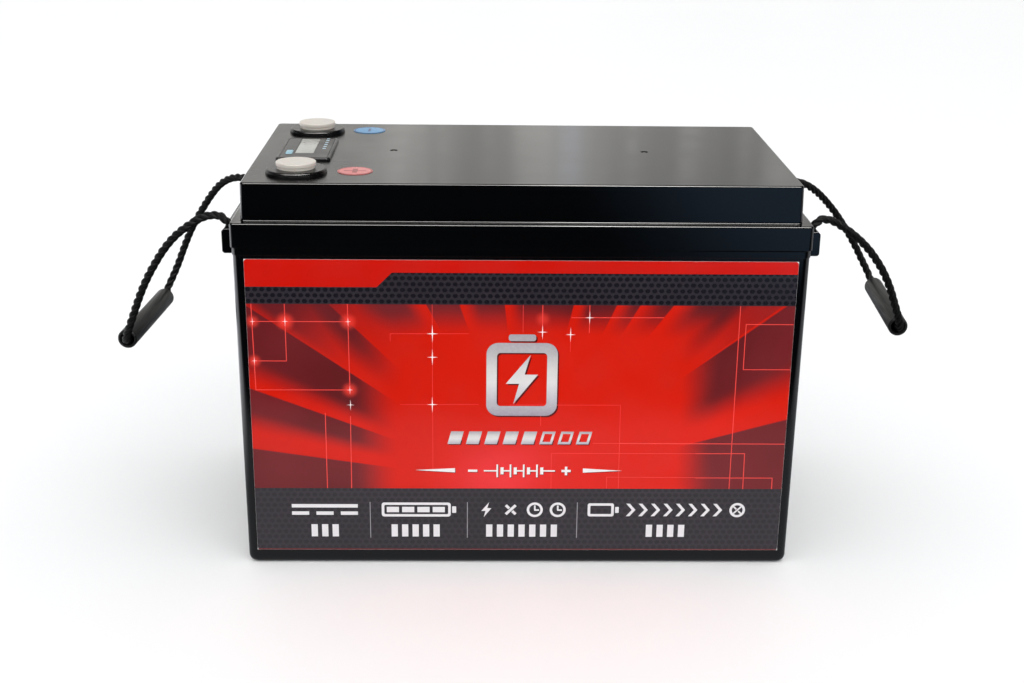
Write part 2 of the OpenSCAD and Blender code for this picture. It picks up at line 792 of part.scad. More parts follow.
POSITIVE_X = [-104, -62];
NEGATIVE_ROUTE = [
    [-132, 30, 217.2], [-132, 26, 217.2], [-132, 21.5, 217.2], [-132, 17.5, 217.2],
    [-129, 9.5, 214], [-121, 3, 207], [-110, -1, 199], [-100.5, -4, 191], [-96, -5.7, 184.5],
    [-95, -6, 181], [-95, -6, 177.5], [-95, -6, 172]
];
STACK_ROUTE = [
    [126.5, -32, 217.2], [126.5, -28, 217.2], [126.5, -24, 217.2], [126.5, -20.5, 217.2],
    [121, -12, 218.5], [110, -8, 219.8], [96, -7, 220], [60, -7, 220], [20, -7, 220],
    [-20, -7, 220], [-52, -7.5, 219.5], [-70, -12, 216.5], [-83, -22, 208],
    [-91.5, -32, 196], [-94.5, -37, 186], [-95, -38, 181], [-95, -38, 177.5], [-95, -38, 172]
];
bms_cable_x = -95;
bms_cable_z = 172;

// A cable shoe: a ring around the origin, its barrel along +X with the cable's end at barrel_end.
module cable_lug(hole_r, ring_t, rise, barrel_end) {
    tang = [14, 11];
    barrel_start = 12;
    barrel_over = 8;    // the barrel covers this much of the cable
    difference() {
        union() {
            cylinder(d = lug_d, h = ring_t, $fn = 48);
            translate([0, -tang[1] / 2, 0]) cube([tang[0], tang[1], ring_t]);
            translate([barrel_start, 0, rise]) rotate([0, 90, 0])
                cylinder(r = cable_r + 0.8, h = barrel_end + barrel_over - barrel_start, $fn = 48);
        }
        translate([0, 0, -1]) cylinder(r = hole_r, h = ring_t + 2, $fn = 48);
        translate([barrel_end, 0, rise]) rotate([0, 90, 0]) cylinder(r = cable_r, h = 20, $fn = 48);
    }
}

module positive_cable() {
    color("#b01818") translate([POSITIVE_X[0], -terminal_y, cable_z]) rotate([0, 90, 0])
        cylinder(r = cable_r, h = POSITIVE_X[1] - POSITIVE_X[0], $fn = 48);
}

module negative_cable() {
    color("#18181a") tube(smooth_path(NEGATIVE_ROUTE, 3), cable_r - 0.1, 12, [1, 0.8, 0.6]);
}

module stack_cable() {
    color("#18181a") tube(smooth_path(STACK_ROUTE, 3), cable_r - 0.1, 12, [0.3, -0.5, 1]);
}

module cable_lugs() {
    lug_z = insert_z - lug_t;
    color("#c4a878") {
        translate([-terminal_x, -terminal_y, lug_z])
            cable_lug(lug_hole_r, lug_t, cable_z - lug_z, POSITIVE_X[0] + terminal_x);
        translate([cell_x(1), -post_y, post_top]) mirror([1, 0, 0])
            cable_lug(stud_r + 0.3, link_t, cable_z - post_top, cell_x(1) - POSITIVE_X[1]);
        translate([-terminal_x, terminal_y, lug_z]) rotate([0, 0, -90])
            cable_lug(lug_hole_r, lug_t, cable_z - lug_z, terminal_y - NEGATIVE_ROUTE[0][1]);
        translate([cell_x(4), -post_y, post_top]) rotate([0, 0, 90])
            cable_lug(stud_r + 0.3, link_t, cable_z - post_top, post_y + STACK_ROUTE[0][1]);
        for (y = BMS_POST_YS) translate([board_x0 - post_block[0], y, bms_post_z])
            rotate([0, -90, 0])
                cable_lug(bms_stud_r + 0.3, lug_t, board_x0 - post_block[0] - bms_cable_x,
                    bms_cable_z - bms_post_z);
    }
}

module lug_screws() {
    color("#c0c4c8") for (y = BMS_POST_YS)
        translate([board_x0 - post_block[0] - lug_t, y, bms_post_z]) rotate([0, 90, 0]) {
            translate([0, 0, -4]) cylinder(d = 9, h = 4, $fn = 6);
            cylinder(r = bms_stud_r - fit_gap, h = 8, $fn = 32);
        }
}

HARNESS_ROUTE = [
    [-86, 21, 182], [-86, 21, 186], [-86, 21, 190], [-84.5, 19, 200], [-79, 14, 209],
    [-68, 9.5, 213.8], [-50, 8, 214.2], [0, 8, 214.2], [60, 8, 214.2], [90, 8, 214.2]
];

module balance_harness() {
    tap_z = 213.1;
    color("#d8b030") {
        tube(smooth_path(HARNESS_ROUTE, 3), 2.4, 8, [0.2, -1, 0.1]);
        for (tap = [[1, -1], [1, 1], [2, -1], [3, 1]])
            translate([cell_x(tap[0]), 8, tap_z]) rotate([tap[1] > 0 ? -90 : 90, 0, 0])
                cylinder(r = 1.2, h = tap[1] > 0 ? post_y - 8 - 9.4 : post_y + 8 - 9.4, $fn = 16);
    }
}

module temperature_sensor() {
    color("#1a1a1a") translate([cell_x(2) + pitch / 2, 30, cell_top]) {
        translate([-4, -4, 0]) cube([8, 8, 3.6]);
        translate([0, -4, 1.4]) rotate([90, 0, 0]) cylinder(r = 1, h = 15.4, $fn = 16);
    }
}

case();
lid();
lid_seal();
front_label();
positive_terminal();
negative_terminal();
terminal_seals();
terminal_bolts();
positive_cap();
negative_cap();
positive_disc();
negative_disc();
meter_housing();
meter_window();
meter_lcd();
meter_board();
meter_switch();
meter_key();
meter_cable();
left_rope_roots();
left_rope_loop();
left_grip();
right_rope_roots();
right_rope_loop();
right_grip();
rope_end_stops();
cell_1();
cell_2();
cell_3();
cell_4();
cell_positive_posts();
cell_negative_posts();
cell_vents();
cell_spacers();
left_end_plate();
right_end_plate();
stack_straps();
cell_links();
link_nuts();
base_pad();
side_pads();
cell_cover();
filler_foam();
bms_bracket();
bms_standoffs();
bms_board();
bms_mosfets();
bms_heatsink();
bms_screws();
bms_posts();
bms_sockets();
positive_cable();
negative_cable();
stack_cable();
cable_lugs();
lug_screws();
balance_harness();
temperature_sensor();
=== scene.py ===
"""Deep cycle battery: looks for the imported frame, laid out as a Blender add-on.

Metres, in the frame of the CAD part: X right, Y to the rear, Z up, label towards -Y.
"""

import json
import math

import bmesh
import bpy
from bpy.props import FloatProperty, FloatVectorProperty, IntProperty, PointerProperty
from mathutils import Matrix, Vector


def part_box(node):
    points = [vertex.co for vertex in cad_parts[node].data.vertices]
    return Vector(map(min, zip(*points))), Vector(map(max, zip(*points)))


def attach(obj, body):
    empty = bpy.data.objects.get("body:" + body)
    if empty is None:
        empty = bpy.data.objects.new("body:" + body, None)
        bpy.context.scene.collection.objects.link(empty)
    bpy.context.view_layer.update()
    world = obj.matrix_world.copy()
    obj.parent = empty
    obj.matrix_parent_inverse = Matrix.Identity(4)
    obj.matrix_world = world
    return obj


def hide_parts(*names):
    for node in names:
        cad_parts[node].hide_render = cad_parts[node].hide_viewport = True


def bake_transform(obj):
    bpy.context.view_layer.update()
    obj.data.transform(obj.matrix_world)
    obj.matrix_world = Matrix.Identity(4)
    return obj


bl_info = {
    "name": "Deep Cycle Battery",
    "version": (1, 0, 0),
    "blender": (4, 5, 0),
    "location": "3D View > Sidebar > Battery",
    "description": "Builds a boxed deep cycle battery with rope handles around its packed frame",
    "category": "Object",
}

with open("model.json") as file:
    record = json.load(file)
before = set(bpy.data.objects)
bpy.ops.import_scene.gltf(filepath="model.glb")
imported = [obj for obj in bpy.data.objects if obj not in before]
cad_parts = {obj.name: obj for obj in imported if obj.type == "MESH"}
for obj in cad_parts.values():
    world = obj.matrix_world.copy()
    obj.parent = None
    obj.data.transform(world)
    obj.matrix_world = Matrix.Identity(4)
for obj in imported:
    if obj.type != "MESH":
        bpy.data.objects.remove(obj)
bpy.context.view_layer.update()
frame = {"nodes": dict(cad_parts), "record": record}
MM = 0.001

# Levels and half sizes of the case and lid, in millimetres.
JOINT_Z = 200.2
FLANGE_Z = 195.8
RIM_TOP_Z = 214.9
LID_TOP_Z = 237.15
BOSS_Z = 240.0
RIM_HALF = (167.5, 95.0)
FLANGE_IN = 0.3
WALL_IN = 0.75
DRAFT = 0.9
FOOT = 4.5
CAVITY_HALF = (161.5, 89.0)
STEP_IN = 5.75
LEAN = 0.4
BOSS_R = 18.0
TERMINAL = (-132.0, 61.0)
DIMPLES = ((-78.5, 3.0), (78.5, 3.0))

# The front label: half its width, its lowest and highest edge, the main panel's edges, and the
# thickness of its layers, in millimetres. A thin gap keeps each layer clear of the one below.
LABEL_X = 159.9
LABEL_Z = (8.6, 193.9)
PANEL_Z = (50.0, 167.0)
GAP_T = 0.02
FILM_T = 0.18
PRINT_T = 0.05
STROKE_T = 0.03
SHADOW_T = 0.012
PRINT_LEVEL = FILM_T + PRINT_T + GAP_T
EMBLEM_LEVEL = PRINT_LEVEL + 0.014

# The camera: where it stands and how it's turned, in metres and radians.
CAMERA_AT = (-0.02437, -0.92987, 0.43370)
CAMERA_PITCH, CAMERA_YAW, CAMERA_ROLL = 0.3331, -0.0227, -0.0117
CAMERA_LENS = 53.07

# Rope route on each side, in outward X, Y and Z, as in the CAD part. The Y of a root counts from
# its hole in the rail.
ROOT_ROUTE = [
    (170.2, 0, 209.2), (170.2, 0, 209.4), (170.25, 0, 209.7), (170.4, 0.05, 210.2),
    (170.8, 0.15, 210.8), (171.4, 0.3, 211.3), (172.2, 0.5, 211.9),
]
LEFT_ROUTE = [
    (175.2, -74.6, 214.2), (180, -73.5, 214.3), (185, -72.4, 213), (190, -71.2, 210.4),
    (197, -69.5, 205.6), (204, -67.5, 199.6), (211, -65.5, 191.5), (218, -63, 181),
    (224, -61, 170.5), (229, -58.8, 160), (233.5, -56.7, 149), (237.3, -55, 139.5),
    (240.3, -52, 132), (241.8, -47.5, 128.3), (241.8, -41, 127.5), (240.5, -22, 127.5),
    (239, 0, 127.5), (237.5, 22, 127.5), (236.2, 41, 127.5), (235.9, 47.2, 128.2),
    (234.9, 51.4, 132.4), (232.1, 52.7, 138.4), (229.5, 53.2, 144), (227, 53.1, 149.7),
    (224.7, 52.7, 155.4), (222.3, 51.9, 161.1), (219.8, 50.8, 166.8), (217.2, 49.5, 172.2),
    (214.3, 48, 177.5), (211.3, 46.4, 182.6), (208.1, 44.6, 187.6), (204.9, 42.7, 192.6),
    (201.6, 40.6, 197.4), (198.1, 38.3, 202), (194.4, 35.6, 206.2), (190.2, 32.7, 209.7),
    (185.6, 29.6, 212.3), (180.4, 26.4, 213.8), (175.2, 23.4, 214.2),
]
RIGHT_ROUTE = [
    (175.2, -74.6, 214.2), (179.8, -73.5, 213.7), (184.4, -72.5, 211.9), (189, -71.5, 209),
    (194, -70, 205.6), (198.5, -68.8, 202), (203, -67.4, 198), (208, -65.8, 192.8),
    (213, -64, 186.5), (217.5, -62.2, 180), (221.5, -60.4, 173), (225, -58.5, 165.8),
    (228, -56.8, 158.5), (230.8, -55.3, 151.5), (233.5, -52.8, 145), (235.4, -49, 140),
    (236.1, -43.5, 138), (237.5, -22, 137.8), (239, 0, 137.8), (240.5, 22, 137.8),
    (241.9, 43.5, 138), (242, 48.3, 139), (241, 51.8, 141.9), (239.1, 53, 145.9),
    (236.4, 53, 150.8), (233.5, 52.6, 156), (230.6, 51.8, 161.2), (227.5, 50.8, 166.3),
    (224.3, 49.5, 171.4), (220.9, 48.2, 176.3), (217.5, 46.6, 181.1), (214, 44.8, 185.8),
    (210.4, 42.8, 190.3), (206.7, 40.5, 194.5), (203, 37.8, 198.5), (199.2, 34.8, 202.3),
    (195.3, 31.7, 205.8), (191.1, 28.6, 209), (186.5, 25.9, 211.8), (181.3, 24, 213.8),
    (175.2, 23.4, 214.2),
]
ROPE_Y = (-76.0, 22.0)
ROPE_EXIT = (170.2, -76.0, 209.2)
ROPE_NECK = 6.6
GRIP_MID_X = 239.0
GRIP_YAW = math.radians(4)
GRIP_Z = {"left": 127.5, "right": 137.8}


# ---------------------------------------------------------------------------------- settings


def colour_prop(name, description, default):
    """A colour of the battery, in linear light."""
    return FloatVectorProperty(
        name=name, description=description, subtype="COLOR", size=3, min=0.0, max=1.0,
        default=default,
    )


def share_prop(name, description, default, low, high):
    """A share or a roughness."""
    return FloatProperty(
        name=name, description=description, subtype="FACTOR", default=default, min=low, max=high,
    )


def length_prop(name, description, default, low, high):
    """A size of the battery, in metres."""
    return FloatProperty(
        name=name, description=description, subtype="DISTANCE", unit="LENGTH",
        default=default, min=low, max=high, precision=5,
    )


class BatteryShellSettings(bpy.types.PropertyGroup):
    """Case and lid."""

    plastic: colour_prop("Plastic", "Colour of the moulded case and lid", (0.0012, 0.0014, 0.0017))
    roughness: share_prop("Roughness", "Roughness of the moulded plastic", 0.085, 0.02, 0.6)
    satin: share_prop("Satin", "Roughness of the lid's level top", 0.14, 0.02, 0.6)
    rim_fillet: length_prop("Rim Fillet", "Radius of the lid rim's top edge",
                            0.0011, 0.0004, 0.0025)
    tier_fillet: length_prop("Top Fillet", "Radius of the raised top's edge",
                             0.0011, 0.0004, 0.0028)
    seam: length_prop("Seam", "Chamfer on both sides of the joint line", 0.00035, 0.0001, 0.0006)


class BatteryRopeSettings(bpy.types.PropertyGroup):
    """Rope handles."""

    diameter: length_prop("Diameter", "Diameter of the twisted rope", 0.005, 0.004, 0.0052)
    lay_length: length_prop("Lay Length", "Length of one full turn of a strand",
                            0.0148, 0.008, 0.03)
    ring_step: length_prop("Ring Step", "Distance between the rope's rings", 0.0008, 0.0004, 0.002)
    neck: share_prop("Neck", "Share of its width that the rope keeps in its hole", 0.84, 0.6, 1.0)
    fibre: colour_prop("Fibre", "Colour of the rope's fibre", (0.0017, 0.0017, 0.0019))
    grip: colour_prop("Grip", "Colour of the grip tube", (0.009, 0.009, 0.0094))


class BatteryLabelSettings(bpy.types.PropertyGroup):
    """Printed film on the front."""

    red: colour_prop("Red", "Main red of the print", (0.575, 0.009, 0.0017))
    band_red: colour_prop("Band Red", "Red of the band along the top", (0.52, 0.0055, 0.0012))
    maroon: colour_prop("Maroon", "Dark wedges of the print", (0.105, 0.010, 0.012))
    charcoal: colour_prop("Charcoal", "Ground of the mesh print", (0.026, 0.022, 0.028))
    dot: colour_prop("Dot", "Dots of the mesh print", (0.009, 0.008, 0.012))
    panel: colour_prop("Panel", "Ground of the lower panel", (0.035, 0.030, 0.036))
    pictogram: colour_prop("Pictogram", "Pictograms of the lower panel", (0.72, 0.70, 0.72))
    line: colour_prop("Line", "Thin lines of the print", (0.80, 0.055, 0.045))
    faint_line: colour_prop("Faint Line", "Faint thin lines of the print", (0.78, 0.045, 0.04))
    dot_pitch: length_prop("Dot Pitch", "Distance between the dots of the mesh print",
                           0.00406, 0.002, 0.008)


class BatteryFittingSettings(bpy.types.PropertyGroup):
    """Caps, discs and meter."""

    cap: colour_prop("Cap", "Colour of the terminal caps", (0.60, 0.555, 0.50))
    positive: colour_prop("Positive", "Colour of the positive disc", (0.64, 0.165, 0.16))
    positive_ink: colour_prop("Positive Ink", "Print on the positive disc", (0.30, 0.035, 0.035))
    negative: colour_prop("Negative", "Colour of the negative disc", (0.085, 0.29, 0.53))
    negative_ink: colour_prop("Negative Ink", "Print on the negative disc", (0.035, 0.07, 0.22))
    bezel: colour_prop("Bezel", "Colour of the meter's bezel", (0.008, 0.008, 0.009))
    display: colour_prop("Display", "Colour of the blank display", (0.42, 0.42, 0.39))
    key: colour_prop("Key", "Colour of the wake key", (0.26, 0.48, 0.58))
    gauge: colour_prop("Gauge", "Colour of the gauge marks", (0.33, 0.46, 0.54))
    mark_count: IntProperty(name="Marks", description="How many gauge marks the meter carries",
                            default=6, min=2, max=10)


class BatteryStageSettings(bpy.types.PropertyGroup):
    """Floor, light and camera."""

    floor: colour_prop("Floor", "Colour of the floor", (0.90, 0.90, 0.90))
    sky: FloatProperty(name="Sky", description="Brightness all round",
                       default=1.16, min=0.0, max=5.0)
    gloss_sky: FloatProperty(name="Gloss Sky", description="Brightness all round as gloss sees it",
                             default=0.03, min=0.0, max=5.0)
    key_power: FloatProperty(name="Key Light", description="Power of the overhead light",
                             subtype="POWER", default=6.0, min=0.0, max=500.0)


SETTINGS = (
    BatteryShellSettings, BatteryRopeSettings, BatteryLabelSettings, BatteryFittingSettings,
    BatteryStageSettings,
)


# ---------------------------------------------------------------------------------- materials


class Nodes:
    """A node tree, built node by node."""

    def __init__(self, tree):
        self.nodes = tree.nodes
        self.links = tree.links

    def add(self, kind, inputs=None, **options):
        node = self.nodes.new(kind)
        for name, value in options.items():
            setattr(node, name, value)
        for name, value in (inputs or {}).items():
            self.put(node.inputs[name], value)
        return node

    def put(self, socket, value):
        if isinstance(value, bpy.types.NodeSocket):
            self.links.new(value, socket)
        elif socket.type == "RGBA" and len(value) == 3:
            socket.default_value = (*value, 1.0)
        else:
            socket.default_value = value

    def math(self, operation, *values):
        node = self.add("ShaderNodeMath", operation=operation)
        for socket, value in zip(node.inputs, values):
            self.put(socket, value)
        return node.outputs[0]

    def chain(self, operation, total, *others):
        for value in others:
            total = self.math(operation, total, value)
        return total

    def plus(self, *values):
        return self.chain("ADD", *values)

    def minus(self, a, b):
        return self.math("SUBTRACT", a, b)

    def times(self, *values):
        return self.chain("MULTIPLY", *values)

    def over(self, a, b):
        return self.math("DIVIDE", a, b)


class Shader(Nodes):
    """A procedural material on Object coordinates."""

    def __init__(self, name, roughness=0.4, metallic=0.0):
        self.material = bpy.data.materials.new(name)
        self.material.use_nodes = True
        super().__init__(self.material.node_tree)
        self.surface = self.nodes["Principled BSDF"]
        self.surface.inputs["Roughness"].default_value = roughness
        self.surface.inputs["Metallic"].default_value = metallic
        self.place = self.add("ShaderNodeTexCoord").outputs["Object"]

    def mix(self, share, a, b):
        node = self.add("ShaderNodeMix", data_type="RGBA")
        self.put(node.inputs["Factor"], share)
        self.put(next(s for s in node.inputs if s.identifier == "A_Color"), a)
        self.put(next(s for s in node.inputs if s.identifier == "B_Color"), b)
        return next(s for s in node.outputs if s.identifier == "Result_Color")

    def tints(self, share, colour, dark, light):
        """The colour from a darker to a lighter tint of itself."""
        return self.mix(share, tinted(colour, dark), tinted(colour, light))

    def ramp(self, share, stops):
        node = self.add("ShaderNodeValToRGB", {"Fac": share})
        elements = node.color_ramp.elements
        while len(elements) < len(stops):
            elements.new(0.5)
        for element, (position, colour) in zip(elements, stops):
            element.position = position
            element.color = (*colour, 1.0)
        return node.outputs["Color"]

    def fade(self, value, low, high, to_low=0.0, to_high=1.0, kind="SMOOTHSTEP"):
        node = self.add("ShaderNodeMapRange", {
            "Value": value, "From Min": low, "From Max": high, "To Min": to_low,
            "To Max": to_high,
        }, interpolation_type=kind, clamp=True)
        return node.outputs["Result"]

    def within(self, value, start, full, last_full, end):
        """1 from full to last_full, and 0 outside start and end."""
        return self.times(self.fade(value, start, full), self.fade(value, end, last_full))

    def distance(self, u, v):
        return self.math("SQRT", self.plus(self.times(u, u), self.times(v, v)))

    def axes(self):
        node = self.add("ShaderNodeSeparateXYZ", {"Vector": self.place})
        return node.outputs["X"], node.outputs["Y"], node.outputs["Z"]

    def stretched(self, scale):
        mapping = self.add("ShaderNodeMapping", {"Vector": self.place, "Scale": scale})
        return mapping.outputs["Vector"]

    def noise(self, scale, detail=2.0, roughness=0.5, vector=None):
        node = self.add("ShaderNodeTexNoise", {
            "Vector": vector or self.place, "Scale": scale, "Detail": detail,
            "Roughness": roughness,
        })
        return node.outputs["Fac"]

    def drift(self, scale, detail, low, high):
        """A level that drifts between two values from place to place."""
        return self.fade(self.noise(scale, detail), 0.3, 0.7, low, high)

    def attribute(self, name):
        return self.add("ShaderNodeAttribute", attribute_name=name).outputs["Fac"]

    def bump(self, height, strength, distance, below=None):
        node = self.add("ShaderNodeBump", {
            "Height": height, "Strength": strength, "Distance": distance,
        })
        if below is not None:
            self.put(node.inputs["Normal"], below)
        return node.outputs["Normal"]

    def finish(self, colour, roughness=None, normal=None):
        self.put(self.surface.inputs["Base Color"], colour)
        if roughness is not None:
            self.put(self.surface.inputs["Roughness"], roughness)
        if normal is not None:
            self.put(self.surface.inputs["Normal"], normal)
        return self.material


def tinted(colour, factor):
    return tuple(min(1.0, c * factor) for c in colour)


def tuned(material, **levels):
    """Sets constant inputs of the surface, named with underscores for spaces."""
    inputs = material.node_tree.nodes["Principled BSDF"].inputs
    for name, level in levels.items():
        inputs[name.replace("_", " ")].default_value = level
    return material


def moulded_plastic(name, colour, roughness, grain=0.0, swirl=0.25, satin=None):
    """Moulded plastic: slow waviness of the wall, a faint peel and light handling marks.

    satin is the roughness of the lid's level top, which is softer still round the terminals."""
    s = Shader(name)
    shade = s.tints(s.noise(9.0, 3.0), colour, 1 - swirl, 1 + swirl)
    scuffs = s.noise(1.0, 4.0, 0.7, s.stretched((60.0, 900.0, 60.0)))
    marks = s.fade(scuffs, 0.56, 0.78, 0.0, 0.05)
    uneven = s.noise(26.0, 4.0, 0.6)
    rough = s.plus(s.fade(uneven, 0.3, 0.7, roughness * 0.75, roughness * 1.3), marks)
    if satin:
        x, _, z = s.axes()
        start = (LID_TOP_Z - 0.3) * MM
        more = s.fade(z, start, start + 0.0004, 0.0, satin - roughness)
        rough = s.plus(rough, s.times(more, s.fade(x, -0.105, -0.07, 3.4, 1.0)))
    wave = s.bump(s.noise(17.0, 1.0), 0.03, 0.0012)
    peel = s.bump(s.noise(420.0), 0.012, 0.0004, wave)
    if grain:
        peel = s.bump(s.noise(2600.0), grain, 0.0003, peel)
    return s.finish(shade, rough, peel)


def metal(name, colour, roughness, brushed=(1.0, 1.0, 40.0)):
    """Plain or plated metal with a brushed direction and slight staining."""
    s = Shader(name, metallic=1.0)
    brush = s.noise(90.0, 5.0, 0.7, s.stretched(brushed))
    shade = s.tints(s.noise(24.0, 3.0), colour, 0.82, 1.1)
    rough = s.fade(brush, 0.3, 0.7, roughness * 0.7, roughness * 1.4)
    return s.finish(shade, rough, s.bump(brush, 0.12, 0.0002))


def rubber(name, colour):
    """Soft rubber or silicone sleeve with a matt, faintly dusty skin."""
    s = Shader(name)
    dust = s.noise(60.0, 4.0, 0.65)
    shade = s.tints(dust, colour, 0.8, 1.35)
    return s.finish(shade, s.fade(dust, 0.3, 0.7, 0.5, 0.68), s.bump(s.noise(1500.0), 0.15, 0.0002))


def foam(name, colour):
    """Closed cell foam: small round pores over a cloudy ground."""
    s = Shader(name)
    cells = s.add("ShaderNodeTexVoronoi", {"Vector": s.place, "Scale": 700.0}).outputs["Distance"]
    shade = s.tints(s.noise(40.0, 3.0), colour, 0.75, 1.3)
    return s.finish(shade, s.fade(cells, 0.0, 0.7, 0.75, 0.92), s.bump(cells, 0.4, 0.0005))


def circuit_board(name, colour):
    """Solder mask over copper tracks, which show as a lighter maze."""
    s = Shader(name)
    cells = s.add("ShaderNodeTexVoronoi", {"Vector": s.place, "Scale": 260.0, "Randomness": 0.35},
                  distance="CHEBYCHEV", feature="F1").outputs["Distance"]
    track = s.fade(cells, 0.42, 0.46)
    shade = s.mix(track, colour, tinted(colour, 2.2))
    return s.finish(shade, s.drift(150.0, 2.0, 0.3, 0.45), s.bump(track, 0.3, 0.0002))


def sine_grid(s, u, v, pitch):
    """The product of two sine waves, from -1 to 1."""
    return s.times(s.math("SINE", s.times(u, pitch)), s.math("SINE", s.times(v, pitch)))


def board_sheet(name, colour):
    """Pressed epoxy glass board with a woven show-through."""
    s = Shader(name)
    x, y, z = s.axes()
    weave = sine_grid(s, y, s.plus(x, z), 5200.0)
    shade = s.tints(s.fade(weave, -1.0, 1.0), colour, 0.86, 1.08)
    return s.finish(shade, s.drift(70.0, 3.0, 0.4, 0.58), s.bump(weave, 0.1, 0.0001))


def laid_rope(name, colour):
    """Fine yarns along the rope across each laid strand, with painted shade between them."""
    s = Shader(name)
    yarns = 27
    lay_length = bpy.context.scene.battery_rope.lay_length
    turns = s.plus(s.attribute("rope_around"), s.over(s.attribute("rope_along"), lay_length))
    yarn_relief_and_shade = s.math("SINE", s.times(turns, yarns * 2 * math.pi))
    fuzz = s.noise(1400.0, 4.0, 0.7)
    # Painted shade and painted highlight: darker in the grooves between the yarns, lighter on their
    # crowns.
    shade = s.tints(s.fade(yarn_relief_and_shade, -1.0, 1.0), colour, 0.5, 1.7)
    shade = s.mix(s.fade(fuzz, 0.45, 0.8), shade, tinted(colour, 2.4))
    relief = s.bump(fuzz, 0.2, 0.0002, s.bump(yarn_relief_and_shade, 0.35, 0.0002))
    material = s.finish(shade, s.fade(fuzz, 0.3, 0.7, 0.45, 0.62), relief)
    return tuned(material, Specular_IOR_Level=0.12, Sheen_Weight=0.01, Sheen_Roughness=0.4)


def grip_tube(name, colour):
    """Extruded soft tube: matt, with faint drawing lines along it."""
    s = Shader(name)
    lines = s.noise(1.0, 4.0, 0.6, s.stretched((900.0, 9.0, 900.0)))
    shade = s.tints(s.noise(30.0, 3.0), colour, 0.8, 1.25)
    material = s.finish(shade, s.fade(lines, 0.3, 0.7, 0.36, 0.5), s.bump(lines, 0.1, 0.0002))
    return tuned(material, Specular_IOR_Level=0.22)


def inked(s, colour, roughness, most=1.25):
    """Finishes a print under its gloss laminate."""
    rough = s.drift(45.0, 3.0, roughness * 0.8, roughness * most)
    return s.finish(colour, rough, s.bump(s.noise(900.0), 0.02, 0.0002))


def printed(name, colour, roughness=0.16, shade=0.05):
    """Plain ink."""
    s = Shader(name)
    return inked(s, s.tints(s.noise(25.0), colour, 1 - shade, 1 + shade), roughness)


def silver_print(name, z_low, z_high):
    """Silver ink that runs from grey through near white and back with height."""
    s = Shader(name)
    height = s.fade(s.axes()[2], z_low * MM, z_high * MM, kind="LINEAR")
    tone = s.ramp(height, [
        (0.0, (0.30, 0.27, 0.32)), (0.2, (0.46, 0.44, 0.48)), (0.42, (0.66, 0.64, 0.64)),
        (0.58, (0.60, 0.58, 0.57)), (0.8, (0.40, 0.38, 0.40)), (1.0, (0.34, 0.31, 0.34)),
    ])
    fine = s.noise(600.0)
    tone = s.mix(s.fade(fine, 0.3, 0.7, 0.0, 0.06), tone, (0.9, 0.9, 0.9))
    return s.finish(tone, s.fade(fine, 0.3, 0.7, 0.14, 0.22), s.bump(fine, 0.02, 0.0001))


def hex_dots(s, x, z, pitch, radius, softness):
    """Share of dot, from 0 to 1, of a triangular lattice of flattened hexagons."""
    row = pitch * math.sqrt(3)

    def lattice(shift):
        u, v = (s.minus(s.math("FRACT", s.plus(s.over(axis, step), shift)), 0.5)
                for axis, step in ((x, pitch), (z, row)))
        u = s.math("ABSOLUTE", s.times(u, pitch))
        v = s.math("ABSOLUTE", s.times(v, row * 1.14))
        slant = s.plus(s.times(u, 0.866), s.times(v, 0.5))
        return s.math("SMOOTH_MAX", slant, v, radius * 0.35)

    nearest = s.math("MINIMUM", lattice(10.0), lattice(10.5))
    return s.fade(nearest, radius + softness, radius - softness)


def mesh_print(name, ground, dot, depth):
    """Charcoal ground with a printed mesh of dark dots."""
    s = Shader(name)
    x, _, z = s.axes()
    pitch = bpy.context.scene.battery_label.dot_pitch
    dots = hex_dots(s, x, z, pitch, 0.36 * pitch, 0.00035)
    base = s.tints(s.noise(14.0), ground, 0.8, 1.25)
    return inked(s, s.mix(s.times(dots, depth), base, dot), 0.15)


# Dark wedges of the burst, as the angles where each one starts, is full, is last full and ends, in
# degrees from +X, anticlockwise round the burst's own centre. It stays bright in the middle.
BURST_AT = (3.5, 51.8)
WEDGES = [
    (-40, -39, 15.5, 15.9), (20, 28, 37.1, 37.5), (38.5, 44, 48, 53), (53.3, 53.7, 54.5, 61),
    (60.1, 60.5, 61, 65.6), (65.5, 65.9, 72, 75.6), (76.7, 77.1, 91, 96.2),
    (96.4, 96.8, 103.5, 108.8), (108.8, 109.2, 116.9, 117.3), (118, 122.5, 126, 136.5),
    (134.8, 135.2, 136.5, 144), (144.8, 145.2, 152.5, 158.4), (158.8, 159.2, 163, 168.2),
    (171.4, 171.8, 200, 201),
]
# Wedges that darken the far corners once more, with the share of each.
CORNER_WEDGES = [((117.6, 121, 143, 146.5), 1.0), ((37.5, 37.9, 46, 53), 0.6)]
# Where thin lines meet, with the radius and the strength of each glow.
GLOWS = [
    (-156.5, 156.2, 5.5, 0.75), (-137.6, 156.3, 7.5, 0.9), (-101.0, 156.3, 7.0, 0.8),
    (-156.4, 131.8, 5.5, 0.75), (-100.9, 113.7, 6.5, 0.8), (12.4, 158.5, 6.0, 0.5),
]


